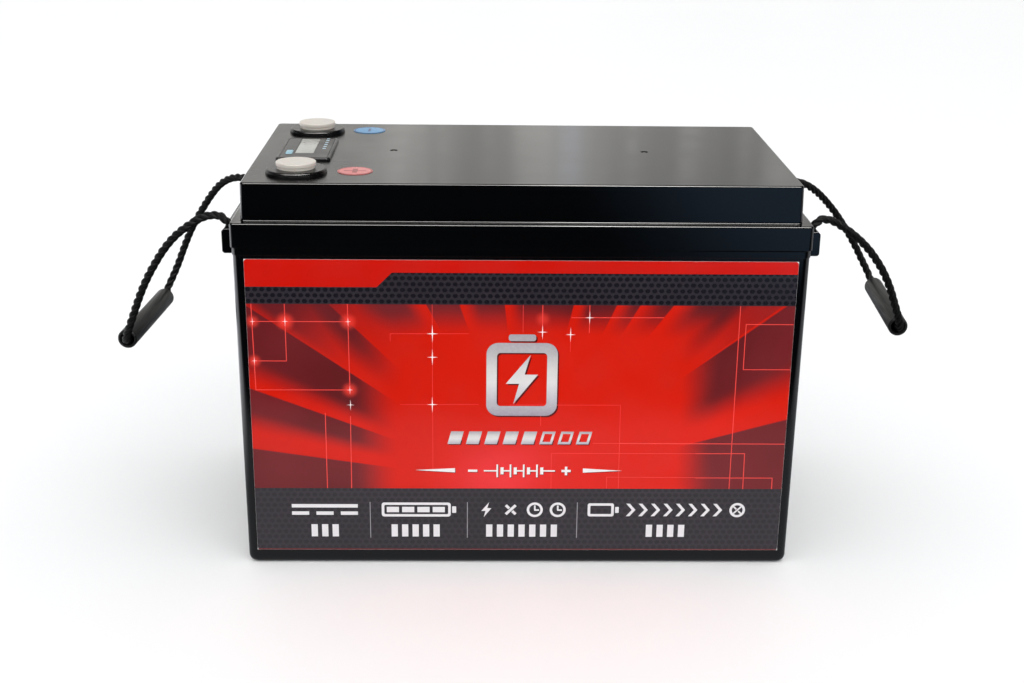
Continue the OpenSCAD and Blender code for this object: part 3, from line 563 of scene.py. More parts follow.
def burst_print(name):
    """The main panel: a red burst with dark wedges, and glows where the thin lines meet."""
    label = bpy.context.scene.battery_label
    s = Shader(name)
    x, _, z = s.axes()
    u, v = s.minus(x, BURST_AT[0] * MM), s.minus(z, BURST_AT[1] * MM)
    angle = s.times(s.math("ARCTAN2", v, u), 180 / math.pi)
    angle = s.plus(angle, s.times(s.math("LESS_THAN", angle, -60.0), 360.0))
    reach = s.distance(u, v)

    dark = 0.0
    for wedge in WEDGES:
        dark = s.math("MAXIMUM", dark, s.within(angle, *wedge))
    sway = s.drift(16.0, 1.0, -0.003, 0.003)
    side_x, side_z = s.plus(x, sway), s.plus(z, sway)
    edge = 0.0
    for value, low, high in ((side_x, -0.068, -0.098), (side_x, 0.094, 0.120),
                             (side_z, 0.146, 0.166)):
        edge = s.math("MAXIMUM", edge, s.fade(value, low, high))
    dark = s.times(dark, edge)
    outer = s.fade(reach, 0.12, 0.185)
    for wedge, share in CORNER_WEDGES:
        dark = s.math("MAXIMUM", dark, s.times(s.within(angle, *wedge), outer, share))

    red = s.tints(s.fade(reach, 0.02, 0.17), label.red, 1.04, 0.92)
    blush = s.times(s.fade(reach, 0.07, 0.0), s.fade(z, 0.095, 0.055))
    red = s.mix(blush, red, (0.86, 0.052, 0.068))
    red = s.mix(s.fade(s.noise(7.0), 0.3, 0.75), red, tinted(label.red, 1.12))
    tone = s.mix(dark, red, s.mix(s.drift(11.0, 2.0, 0.0, 1.0), label.maroon,
                                  tinted(label.maroon, 1.5)))

    glow = 0.0
    for glow_x, glow_z, radius, level in GLOWS:
        away = s.distance(s.minus(x, glow_x * MM), s.minus(z, glow_z * MM))
        glow = s.plus(glow, s.fade(away, radius * MM, 0.0, 0.0, level, kind="SMOOTHERSTEP"))
    tone = s.mix(s.math("MINIMUM", glow, 0.95), tone, (0.86, 0.045, 0.03))
    return inked(s, tone, 0.125, 1.28)


def blank_display(name, colour):
    """An unpowered display: a grey glass with a faint ghost of its segments."""
    s = Shader(name)
    x, y, _ = s.axes()
    ghost = s.fade(sine_grid(s, y, x, 900.0), 0.2, 0.5, 0.0, 0.06)
    tone = s.tints(s.noise(35.0), colour, 0.94, 1.06)
    tone = s.mix(ghost, tone, tinted(colour, 0.6))
    return s.finish(tone, s.drift(50.0, 2.0, 0.22, 0.3))


def sleeved_can(name, colour):
    """Aluminium can in a tight blue film with faint wrinkles, with painted shade in their hollows.
    """
    s = Shader(name)
    wrinkle_relief_and_shade = s.noise(22.0, 5.0, 0.6, s.stretched((1.0, 1.0, 3.0)))
    # Painted shade: the film is darker in the hollows of its wrinkles and lighter on their crests.
    shade = s.tints(wrinkle_relief_and_shade, colour, 0.85, 1.2)
    return s.finish(shade, s.fade(wrinkle_relief_and_shade, 0.3, 0.7, 0.25, 0.4), s.bump(wrinkle_relief_and_shade, 0.15, 0.0006))


# ---------------------------------------------------------------------------------- meshes


def new_piece(name, mesh, *materials):
    piece = bpy.data.objects.new(name, mesh)
    bpy.context.scene.collection.objects.link(piece)
    for material in materials:
        mesh.materials.append(material)
    return piece


def from_bmesh(name, bm, smooth=True):
    bmesh.ops.recalc_face_normals(bm, faces=bm.faces)
    mesh = bpy.data.meshes.new(name)
    bm.to_mesh(mesh)
    bm.free()
    mesh.polygons.foreach_set("use_smooth", [smooth] * len(mesh.polygons))
    return mesh


def baked(piece):
    """Turns the piece into the plain mesh that its modifiers make, and removes them."""
    bpy.context.view_layer.update()
    graph = bpy.context.evaluated_depsgraph_get()
    mesh = bpy.data.meshes.new_from_object(piece.evaluated_get(graph))
    piece.modifiers.clear()
    piece.data = mesh
    return piece


def combine(piece, mesh, operation):
    """Joins a closed mesh to the piece, or cuts it out."""
    tool = new_piece("tool", mesh)
    cut = piece.modifiers.new("Combine", "BOOLEAN")
    cut.operation = operation
    cut.solver = "EXACT"
    cut.object = tool
    baked(piece)
    bpy.data.objects.remove(tool)


def coat(piece, material):
    piece.data.materials.clear()
    piece.data.materials.append(material)


def shaded(piece, angle=32.0):
    """Smooth faces with crisp edges, and normals that keep the flat faces flat."""
    mesh = piece.data
    mesh.polygons.foreach_set("use_smooth", [True] * len(mesh.polygons))
    mesh.set_sharp_from_angle(angle=math.radians(angle))
    weigh = piece.modifiers.new("Weigh", "WEIGHTED_NORMAL")
    weigh.keep_sharp = True
    return baked(piece)


def rounded_rect(half_x, half_y, r, z, steps=8):
    """Points of a rounded rectangle at height z, anticlockwise, in metres."""
    points = []
    for k, (sx, sy) in enumerate(((1, 1), (-1, 1), (-1, -1), (1, -1))):
        for i in range(steps + 1):
            a = math.radians(90 * (k + i / steps))
            points.append((
                (sx * (half_x - r) + r * math.cos(a)) * MM,
                (sy * (half_y - r) + r * math.sin(a)) * MM,
                z * MM,
            ))
    return points


def circle(r, z, steps=96):
    return [
        (r * MM * math.cos(2 * math.pi * i / steps), r * MM * math.sin(2 * math.pi * i / steps),
         z * MM)
        for i in range(steps)
    ]


def loft(name, rings, at=(0.0, 0.0)):
    """A closed solid through rings of equal count, with a flat face on both ends."""
    bm = bmesh.new()
    loops = [
        [bm.verts.new((x + at[0] * MM, y + at[1] * MM, z)) for x, y, z in ring] for ring in rings
    ]
    count = len(loops[0])
    for low, high in zip(loops, loops[1:]):
        for i in range(count):
            j = (i + 1) % count
            bm.faces.new((low[i], low[j], high[j], high[i]))
    bm.faces.new(loops[0][::-1])
    bm.faces.new(loops[-1])
    return from_bmesh(name, bm)


def lathe(name, profile, at, steps=96):
    """A closed solid turned about a vertical axis, from (radius, height) pairs."""
    return loft(name, [circle(r, z, steps) for r, z in profile], at)


def arc(centre, r, start, end, steps):
    """Points of a fillet from one angle to another, in degrees."""
    angles = [math.radians(start + (end - start) * i / steps) for i in range(steps + 1)]
    return [(centre[0] + r * math.cos(a), centre[1] + r * math.sin(a)) for a in angles]


def cad_box(name):
    """X and Y of a CAD node's middle, its half sizes along them, and its low and high corner, in
    millimetres."""
    low, high = (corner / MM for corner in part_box(name))
    middle = ((low.x + high.x) / 2, (low.y + high.y) / 2)
    return middle, ((high.x - low.x) / 2, (high.y - low.y) / 2), low, high


def block(name, low, high, r=0.0, bevel_steps=3):
    """A box between two corners in millimetres, with rounded edges if r is above 0."""
    bm = bmesh.new()
    bmesh.ops.create_cube(bm, size=1.0)
    for v in bm.verts:
        v.co = Vector(
            ((a + b) / 2 + (b - a) * c) * MM for a, b, c in zip(low, high, v.co)
        )
    if r:
        bmesh.ops.bevel(bm, geom=list(bm.edges), offset=r * MM, segments=bevel_steps,
                        profile=0.5, affect="EDGES")
    return from_bmesh(name, bm)


def wall_y(z):
    """Where the case's front wall is at height z, in millimetres."""
    return -(RIM_HALF[1] - WALL_IN) + DRAFT * (FLANGE_Z - z) / (FLANGE_Z - FOOT)


def flat_solid(name, outlines, thickness, place, bevel=0.0):
    """A thin solid from closed outlines in millimetres, holes among them.

    place(x, y, h) says where a point of the outline goes, h above the surface it lies on."""
    curve = bpy.data.curves.new(name, "CURVE")
    curve.dimensions = "2D"
    curve.fill_mode = "BOTH"
    curve.extrude = (thickness / 2 - bevel) * MM
    curve.bevel_depth = bevel * MM
    curve.bevel_resolution = 1
    for outline in outlines:
        spline = curve.splines.new("POLY")
        spline.points.add(len(outline) - 1)
        for point, (x, y) in zip(spline.points, outline):
            point.co = (x * MM, y * MM, 0.0, 1.0)
        spline.use_cyclic_u = True
    source = bpy.data.objects.new(name, curve)
    bpy.context.scene.collection.objects.link(source)
    bpy.context.view_layer.update()
    graph = bpy.context.evaluated_depsgraph_get()
    mesh = bpy.data.meshes.new_from_object(source.evaluated_get(graph))
    bpy.data.objects.remove(source)
    bm = bmesh.new()
    bm.from_mesh(mesh)
    bmesh.ops.remove_doubles(bm, verts=bm.verts, dist=1e-7)
    for v in bm.verts:
        v.co = place(v.co.x / MM, v.co.y / MM, v.co.z / MM + thickness / 2)
    bmesh.ops.recalc_face_normals(bm, faces=bm.faces)
    bm.to_mesh(mesh)
    bm.free()
    mesh.polygons.foreach_set("use_smooth", [False] * len(mesh.polygons))
    mesh.name = name
    return mesh


def on_front(level):
    """Places an outline's X and Y on the front wall as X and Z, from a level above it."""
    def place(x, y, h):
        return Vector((x, wall_y(y) - level - h, y)) * MM
    return place


def on_top(level):
    """Places an outline on a level surface of the lid."""
    def place(x, y, h):
        return Vector((x, y, level + h)) * MM
    return place


def standing(x, z, h):
    """Stands an outline up at the origin, for copies that are set on the front."""
    return Vector((x, -h, z)) * MM


def joined(name, meshes, *materials):
    """One mesh from several."""
    bm = bmesh.new()
    for mesh in meshes:
        bm.from_mesh(mesh)
        bpy.data.meshes.remove(mesh)
    whole = bpy.data.meshes.new(name)
    bm.to_mesh(whole)
    bm.free()
    return new_piece(name, whole, *materials)


def box_outline(x0, z0, x1, z1, r=0.0, steps=5):
    """A rectangle, with round corners if r is above 0."""
    if not r:
        return [(x0, z0), (x1, z0), (x1, z1), (x0, z1)]
    points = []
    for cx, cz, start in ((x1 - r, z1 - r, 0), (x0 + r, z1 - r, 90), (x0 + r, z0 + r, 180),
                          (x1 - r, z0 + r, 270)):
        points += arc((cx, cz), r, start, start + 90, steps)
    return points


def bar(a, b, width):
    """A straight stroke from a to b."""
    ax, az = a
    bx, bz = b
    length = math.hypot(bx - ax, bz - az)
    nx, nz = -(bz - az) / length * width / 2, (bx - ax) / length * width / 2
    return [(ax - nx, az - nz), (bx - nx, bz - nz), (bx + nx, bz + nz), (ax + nx, az + nz)]


def disc_outline(cx, cz, r, steps=32):
    return arc((cx, cz), r, 0, 360 * (steps - 1) / steps, steps - 1)


def plus_outline(wide, tall, thin, stout):
    """A plus sign from its half width and height, and the half widths of its two strokes."""
    return [
        (-wide, -thin), (-stout, -thin), (-stout, -tall), (stout, -tall), (stout, -thin),
        (wide, -thin), (wide, thin), (stout, thin), (stout, tall), (-stout, tall), (-stout, thin),
        (-wide, thin),
    ]


def ride(piece, body, slot, *replaced):
    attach(piece, body)
    if replaced:
        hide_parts(*replaced)
    return piece


def print_front(name, shapes, ink, level=PRINT_LEVEL, thickness=STROKE_T):
    """Prints shapes on the front as one piece. Each shape is a list of outlines."""
    marks = [flat_solid(name, outlines, thickness, on_front(level)) for outlines in shapes]
    return ride(joined(name, marks, ink), "battery", "label_film")


# ---------------------------------------------------------------------------------- node trees


class Tree(Nodes):
    """A Geometry Nodes tree with named inputs."""

    def __init__(self, name, inputs):
        self.group = bpy.data.node_groups.new(name, "GeometryNodeTree")
        super().__init__(self.group)
        face = self.group.interface
        face.new_socket("Geometry", in_out="INPUT", socket_type="NodeSocketGeometry")
        for label, kind in inputs:
            face.new_socket(label, in_out="INPUT", socket_type="NodeSocket" + kind)
        face.new_socket("Geometry", in_out="OUTPUT", socket_type="NodeSocketGeometry")
        self.given = self.nodes.new("NodeGroupInput").outputs

    def finish(self, geometry):
        """Ends the tree in real geometry with the given material."""
        real = self.add("GeometryNodeRealizeInstances", {"Geometry": geometry})
        coated = self.add("GeometryNodeSetMaterial", {
            "Geometry": real.outputs["Geometry"], "Material": self.given["Material"],
        })
        self.add("NodeGroupOutput", {"Geometry": coated.outputs["Geometry"]})
        return self.group


def grown(piece, tree, values):
    """Runs a node tree on the piece and keeps the plain mesh that it makes."""
    grow = piece.modifiers.new("Grow", "NODES")
    grow.node_group = tree
    sockets = {
        item.name: item.identifier for item in tree.interface.items_tree
        if item.item_type == "SOCKET" and item.in_out == "INPUT"
    }
    for name, value in values.items():
        grow[sockets[name]] = value
    return baked(piece)


def rope_tree():
    """Sweeps three strands along a line, and twists them as they go."""
    t = Tree("Laid Rope", [
        ("Diameter", "Float"), ("Lay Length", "Float"), ("Ring Step", "Float"), ("Neck", "Float"),
        ("Neck Length", "Float"), ("Material", "Material"),
    ])
    line = t.add("GeometryNodeMeshToCurve", {"Mesh": t.given["Geometry"]})
    even = t.add("GeometryNodeResampleCurve", {
        "Curve": line.outputs["Curve"], "Length": t.given["Ring Step"],
    }, mode="LENGTH")
    along = t.add("GeometryNodeSplineParameter").outputs["Length"]
    kept = t.add("GeometryNodeStoreNamedAttribute", {
        "Geometry": even.outputs["Curve"], "Name": "rope_along", "Value": along,
    }, data_type="FLOAT", domain="POINT")
    turn = t.times(t.over(along, t.given["Lay Length"]), 2 * math.pi)
    twisted = t.add("GeometryNodeSetCurveTilt", {
        "Curve": kept.outputs["Geometry"], "Tilt": turn,
    })
    whole = t.add("GeometryNodeSplineLength").outputs["Length"]
    to_end = t.math("MINIMUM", along, t.minus(whole, along))
    squeeze = t.add("ShaderNodeMapRange", {
        "Value": to_end, "From Min": t.given["Neck Length"],
        "From Max": t.plus(t.given["Neck Length"], 0.003), "To Min": t.given["Neck"],
    }, interpolation_type="SMOOTHSTEP").outputs["Result"]

    # Outline of three strands pressed into each other, the radius of the whole being 1.
    strand_r = 0.56
    offset = 1 - strand_r
    ring = t.add("GeometryNodeCurvePrimitiveCircle", {"Resolution": 36, "Radius": 1.0})
    around = t.add("GeometryNodeSplineParameter").outputs["Factor"]
    lobe = t.times(t.minus(t.math("FRACT", t.times(around, 3.0)), 0.5), 2 * math.pi / 3)
    across = t.times(t.math("SINE", lobe), offset)
    inside = t.math("MAXIMUM", t.minus(strand_r ** 2, t.times(across, across)), 0.0)
    radius = t.plus(t.times(t.math("COSINE", lobe), offset), t.math("SQRT", inside))
    size = t.times(radius, t.times(t.given["Diameter"], 0.5))
    spot = t.add("GeometryNodeInputPosition").outputs["Position"]
    scaled = t.add("ShaderNodeVectorMath", {"Vector": spot, "Scale": size}, operation="SCALE")
    lobed = t.add("GeometryNodeSetPosition", {
        "Geometry": ring.outputs["Curve"], "Position": scaled.outputs["Vector"],
    })
    marked = t.add("GeometryNodeStoreNamedAttribute", {
        "Geometry": lobed.outputs["Geometry"], "Name": "rope_around", "Value": around,
    }, data_type="FLOAT", domain="POINT")
    swept = t.add("GeometryNodeCurveToMesh", {
        "Curve": twisted.outputs["Curve"], "Profile Curve": marked.outputs["Geometry"],
        "Scale": squeeze, "Fill Caps": True,
    })
    smooth = t.add("GeometryNodeSetShadeSmooth", {"Geometry": swept.outputs["Mesh"]})
    return t.finish(smooth.outputs["Geometry"])


def row_tree():
    """Sets copies of a shape in a row."""
    t = Tree("Row Of Marks", [
        ("Shape", "Object"), ("Count", "Int"), ("Start", "Vector"), ("Step", "Vector"),
        ("Material", "Material"),
    ])
    row = t.add("GeometryNodeMeshLine", {
        "Count": t.given["Count"], "Start Location": t.given["Start"], "Offset": t.given["Step"],
    }, mode="OFFSET")
    shape = t.add("GeometryNodeObjectInfo", {"Object": t.given["Shape"]})
    copies = t.add("GeometryNodeInstanceOnPoints", {
        "Points": row.outputs["Mesh"], "Instance": shape.outputs["Geometry"],
    })
    return t.finish(copies.outputs["Instances"])


def scatter_tree():
    """Sets a copy of a shape on every point, scaled by the point's own size."""
    t = Tree("Marks On Points", [("Shape", "Object"), ("Material", "Material")])
    shape = t.add("GeometryNodeObjectInfo", {"Object": t.given["Shape"]})
    size = t.add("GeometryNodeInputNamedAttribute", {"Name": "size"}, data_type="FLOAT")
    scale = t.add("ShaderNodeCombineXYZ", {
        "X": size.outputs["Attribute"], "Y": 1.0, "Z": size.outputs["Attribute"],
    })
    copies = t.add("GeometryNodeInstanceOnPoints", {
        "Points": t.given["Geometry"], "Instance": shape.outputs["Geometry"],
        "Scale": scale.outputs["Vector"],
    })
    return t.finish(copies.outputs["Instances"])


def mark_row(name, mesh, material, count, start, step, slot="label_film"):
    """A row of printed marks, made from one shape; places in millimetres."""
    shape = new_piece(name + "_shape", mesh)
    tree = bpy.data.node_groups.get("Row Of Marks") or row_tree()
    row = grown(new_piece(name, bpy.data.meshes.new(name)), tree, {
        "Shape": shape, "Count": count, "Start": tuple(c * MM for c in start),
        "Step": tuple(c * MM for c in step), "Material": material,
    })
    bpy.data.objects.remove(shape)
    ride(row, "battery", slot)


# ---------------------------------------------------------------------------------- operators


class Maker:
    """What all the operators share: run make() and say so."""

    bl_options = {"REGISTER", "UNDO"}

    def execute(self, context):
        self.make(context.scene)
        return {"FINISHED"}


class BATTERY_OT_stage(Maker, bpy.types.Operator):
    """Set up the camera, the pale floor and the soft light"""

    bl_idname = "battery.stage"
    bl_label = "Camera and Stage"

    def make(self, scene):
        self.make_camera(scene)
        self.make_floor(scene.battery_stage)
        self.make_light(scene)

    def make_camera(self, scene):
        lens = bpy.data.cameras.new("camera")
        lens.sensor_width = 36.0
        lens.lens = CAMERA_LENS
        lens.clip_start = 0.01
        camera = bpy.data.objects.new("camera", lens)
        scene.collection.objects.link(camera)
        turn = (Matrix.Rotation(CAMERA_YAW, 4, "Z")
                @ Matrix.Rotation(math.pi / 2 - CAMERA_PITCH, 4, "X")
                @ Matrix.Rotation(-CAMERA_ROLL, 4, "Z"))
        camera.matrix_world = Matrix.Translation(CAMERA_AT) @ turn
        scene.camera = camera

    def make_floor(self, stage):
        half, below = 9.0, -0.0004
        bm = bmesh.new()
        bmesh.ops.create_grid(bm, x_segments=2, y_segments=2, size=half,
                              matrix=Matrix.Translation((0.0, 0.0, below)))
        s = Shader("floor_paint", roughness=0.6)
        tone = s.tints(s.noise(3.0), stage.floor, 0.985, 1.0)
        floor = new_piece("floor", from_bmesh("floor", bm), s.finish(tone))
        floor.visible_glossy = False

        # What gloss sees below the horizon: the table, whose front edge is near, and a dark room
        # with a cool window on the right.
        s = Shader("table_glow")
        x, y, _ = s.axes()
        table = s.fade(y, -0.375, -0.285, 0.006, 0.42)
        beside = s.plus(s.fade(x, -0.24, -0.5, 0.0, 1.8), s.fade(x, 0.24, 0.5, 0.0, 0.3))
        beside = s.times(beside, s.fade(y, -0.30, -0.20))
        window = s.times(s.fade(x, 0.10, 0.36), s.fade(y, -0.62, -0.82, 0.0, 0.5))
        tint = s.mix(s.fade(y, -0.5, -0.6), (0.93, 0.95, 1.0), (0.42, 0.66, 1.0))
        self.glow_card(s, tint, s.plus(table, beside, window), (-half, -half, -0.0008),
                       (2 * half, 0, 0), (0, 2 * half, 0))

    def glow_card(self, shader, tint, level, corner, side_a, side_b):
        """A card that only gloss sees, from its low corner and its two sides."""
        glow = shader.add("ShaderNodeEmission", {"Color": tint, "Strength": level})
        shader.put(shader.nodes["Material Output"].inputs["Surface"], glow.outputs[0])
        corner, side_a, side_b = Vector(corner), Vector(side_a), Vector(side_b)
        bm = bmesh.new()
        bm.faces.new([bm.verts.new(v) for v in (
            corner, corner + side_a, corner + side_a + side_b, corner + side_b)])
        name = shader.material.name
        card = new_piece(name, from_bmesh(name, bm), shader.material)
        for ray in ("camera", "diffuse", "shadow", "transmission"):
            setattr(card, "visible_" + ray, False)

    def make_light(self, scene):
        world = bpy.data.worlds.new("soft_room")
        world.use_nodes = True
        t = Nodes(world.node_tree)
        t.nodes.remove(t.nodes["Background"])
        choice = t.add("ShaderNodeMixShader")
        t.put(choice.inputs[0], t.add("ShaderNodeLightPath").outputs["Is Glossy Ray"])
        skies = [((0.98, 0.99, 1.0), scene.battery_stage.sky),
                 ((0.9, 0.95, 1.0), scene.battery_stage.gloss_sky)]
        for socket, (colour, strength) in zip(choice.inputs[1:], skies):
            sky = t.add("ShaderNodeBackground", {"Color": colour, "Strength": strength})
            t.put(socket, sky.outputs[0])
        t.put(t.nodes["World Output"].inputs["Surface"], choice.outputs[0])
        scene.world = world
        light = bpy.data.lights.new("key_light", "AREA")
        light.shape = "RECTANGLE"
        light.size, light.size_y = 1.6, 0.5
        light.energy = scene.battery_stage.key_power
        lamp = bpy.data.objects.new("key_light", light)
        scene.collection.objects.link(lamp)
        lamp.location = (0.5, -1.3, 1.9)
        lamp.rotation_euler = (-lamp.location).to_track_quat("-Z", "Y").to_euler()
        lamp.visible_glossy = False

        # Behind: curtain folds in the lid's sheen, one of them bright.
        s = Shader("curtain_glow")
        x = s.axes()[0]
        folds = s.noise(1.0, 4.0, 0.7, s.stretched((10.0, 0.0, 0.25)))
        level = s.fade(folds, 0.40, 0.62, 0.56, 0.94)
        bright = s.minus(1.0, s.fade(s.math("ABSOLUTE", s.minus(x, 0.24)), 0.012, 0.05))
        level = s.plus(level, s.times(bright, 0.34))
        level = s.times(level, s.fade(x, 0.9, -0.9, 0.86, 1.2))
        tint = s.mix(bright, (1.0, 0.985, 0.95), (0.98, 0.99, 1.03))
        self.glow_card(s, tint, level, (-4.5, 3.4, 0.0), (9.0, 0, 0), (0, 0, 2.8))
        # In front, above: a soft panel, uneven along its length.
        s = Shader("panel_glow")
        uneven = s.fade(s.noise(1.0, 2.0, 0.5, s.stretched((1.3, 0.0, 0.0))), 0.35, 0.65, 9.0, 30.0)
        off_middle = s.math("ABSOLUTE", s.minus(s.axes()[0], 0.35))
        uneven = s.plus(uneven, s.fade(off_middle, 0.1, 0.32, 26.0, 0.0))
        self.glow_card(s, (1.0, 0.98, 0.95), uneven, (-3.0, -2.2, 2.3), (6.0, 0, 0), (0, 0.4, 2.2))
        scene.view_settings.view_transform = "Standard"


def smooth_route(points, steps):
    """A smooth line through the points."""
    route = []
    last = len(points) - 1
    for i in range(last):
        a, b, c, d = (Vector(points[k]) for k in (max(i - 1, 0), i, i + 1, min(i + 2, last)))
        for j in range(steps):
            t = j / steps
            route.append(0.5 * (2 * b + (c - a) * t + (2 * a - 5 * b + 4 * c - d) * t * t
                                + (3 * b - a - 3 * c + d) * t ** 3))
    route.append(Vector(points[last]))
    return route


class BATTERY_OT_ropes(Maker, bpy.types.Operator):
    """Twist both rope handles, from hole to hole through their grips"""

    bl_idname = "battery.ropes"
    bl_label = "Rope Handles"

    def make(self, scene):
        rope = scene.battery_rope
        fibre = laid_rope("rope_fibre", rope.fibre)
        tube = grip_tube("grip_tube", rope.grip)
        tree = rope_tree()
        for side, sign, loop in (("left", -1, LEFT_ROUTE), ("right", 1, RIGHT_ROUTE)):
            grip = self.make_grip(side, sign, tube)
            front_y, rear_y = ROPE_Y
            start = [(ROPE_EXIT[0], 0.0, z) for z in (203.0, 205.0, 207.0, 208.4)]
            meet = (loop[0][0], loop[0][1] - front_y, loop[0][2])
            stub = [Vector(p) for p in start] + smooth_route(ROOT_ROUTE + [meet], 3)[:-1]
            front = [Vector((p.x, p.y + front_y, p.z)) for p in stub]
            rear = [Vector((p.x, p.y + rear_y, p.z)) for p in reversed(stub)]
            path = [
                Vector((sign * p.x, p.y, p.z)) * MM for p in front + smooth_route(loop, 4) + rear
            ]
            line = bpy.data.meshes.new(side + "_rope")
            line.from_pydata(path, [(i, i + 1) for i in range(len(path) - 1)], [])
            piece = grown(new_piece(side + "_rope", line), tree, {
                "Diameter": rope.diameter, "Lay Length": rope.lay_length,
                "Ring Step": rope.ring_step, "Neck": rope.neck, "Neck Length": ROPE_NECK * MM,
                "Material": fibre,
            })
            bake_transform(piece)
            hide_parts(side + "_rope_roots", side + "_rope_loop")

    def make_grip(self, side, sign, material):
        outer_r, bore_r, half, mouth, edge = 6.0, 4.3, 44.0, 0.4, 1.1
        profile = [(bore_r, -half + mouth)]
        profile += arc((bore_r + mouth, -half + mouth), mouth, 180, 270, 3)[1:]
        profile += arc((outer_r - edge, -half + edge), edge, 270, 360, 6)
        profile += arc((outer_r - edge, half - edge), edge, 0, 90, 6)
        profile += arc((bore_r + mouth, half - mouth), mouth, 90, 180, 3)
        bm = bmesh.new()
        steps = 64
        turn = (Matrix.Translation((sign * GRIP_MID_X * MM, 0.0, GRIP_Z[side] * MM))
                @ Matrix.Rotation(-GRIP_YAW, 4, "Z"))
        rings = [
            [bm.verts.new(turn @ Vector((
                r * MM * math.cos(2 * math.pi * i / steps), y * MM,
                r * MM * math.sin(2 * math.pi * i / steps)))) for i in range(steps)]
            for r, y in profile
        ]
        for k, ring in enumerate(rings):
            after = rings[(k + 1) % len(rings)]
            for i in range(steps):
                j = (i + 1) % steps
                bm.faces.new((ring[i], ring[j], after[j], after[i]))
        grip = new_piece(side + "_grip_tube", from_bmesh(side + "_grip_tube", bm), material)
        return ride(grip, side + "_handle", "grip_plastic", side + "_grip")


class BATTERY_OT_case(Maker, bpy.types.Operator):
    """Mould the case with its foot, flange and handle rails"""

    bl_idname = "battery.case"
    bl_label = "Case"

    def make(self, scene):
        shell = scene.battery_shell
        seam = shell.seam / MM
        corner = 5.0
        rings = [(DRAFT + WALL_IN + max(0.0, (inset + FOOT * 0.4) * 0.5), z)
                 for inset, z in arc((FOOT * 0.6, FOOT), FOOT, 270, 180, 6)]
        rings += [
            (WALL_IN + DRAFT * 0.5, (FOOT + FLANGE_Z) / 2), (WALL_IN, FLANGE_Z),
            (FLANGE_IN + 0.12, FLANGE_Z), (FLANGE_IN, FLANGE_Z + 0.15),
            (FLANGE_IN, JOINT_Z - seam), (FLANGE_IN + seam, JOINT_Z),
        ]
        outer = [
            rounded_rect(RIM_HALF[0] - inset, RIM_HALF[1] - inset, corner, z) for inset, z in rings
        ]
        inner = [
            rounded_rect(*CAVITY_HALF, 4.0, JOINT_Z), rounded_rect(*CAVITY_HALF, 4.0, FOOT + 3.0),
            rounded_rect(CAVITY_HALF[0] - 3.0, CAVITY_HALF[1] - 3.0, 2.0, FOOT),
        ]
        case = new_piece("case_shell", loft("case_shell", outer + inner))
        for sign in (-1, 1):
            combine(case, self.make_rail(sign), "UNION")
        hole = [(2.3, 190.0), (2.3, 208.9), (2.9, 209.6)]
        for sign in (-1, 1):
            for y in ROPE_Y:
                combine(case, lathe("hole", hole, (sign * ROPE_EXIT[0], y), 32), "DIFFERENCE")
        coat(case, moulded_plastic("case_plastic", shell.plastic, shell.roughness))
        ride(shaded(case), "battery", "case_plastic", "case")

    def make_rail(self, sign):
        """One handle rail, a stout strip with bevelled edges."""
        inner, low, high, out = 165.0, FLANGE_Z - 1.1, 209.2, 173.5
        outline = [
            (inner, low), (out - 1.0, low), (out, low + 1.0), (out, high - 1.5),
            (out - 1.5, high), (167.7, high), (167.7, JOINT_Z), (inner, JOINT_Z),
        ]
        half = 85.0
        bm = bmesh.new()
        ends = [
            [bm.verts.new((sign * x * MM, y * MM, z * MM)) for x, z in outline]
            for y in (-half, half)
        ]
        count = len(outline)
        for i in range(count):
            j = (i + 1) % count
            bm.faces.new((ends[0][i], ends[0][j], ends[1][j], ends[1][i]))
        bm.faces.new(ends[0][::-1])
        bm.faces.new(ends[1])
        bmesh.ops.recalc_face_normals(bm, faces=bm.faces)
        soft = [
            e for e in bm.edges
            if min(abs(v.co.x) for v in e.verts) > 0.1675 and e.calc_face_angle() > 0.2
        ]
        bmesh.ops.bevel(bm, geom=soft, offset=0.0005, segments=3, profile=0.5, affect="EDGES")
        return from_bmesh("rail", bm)


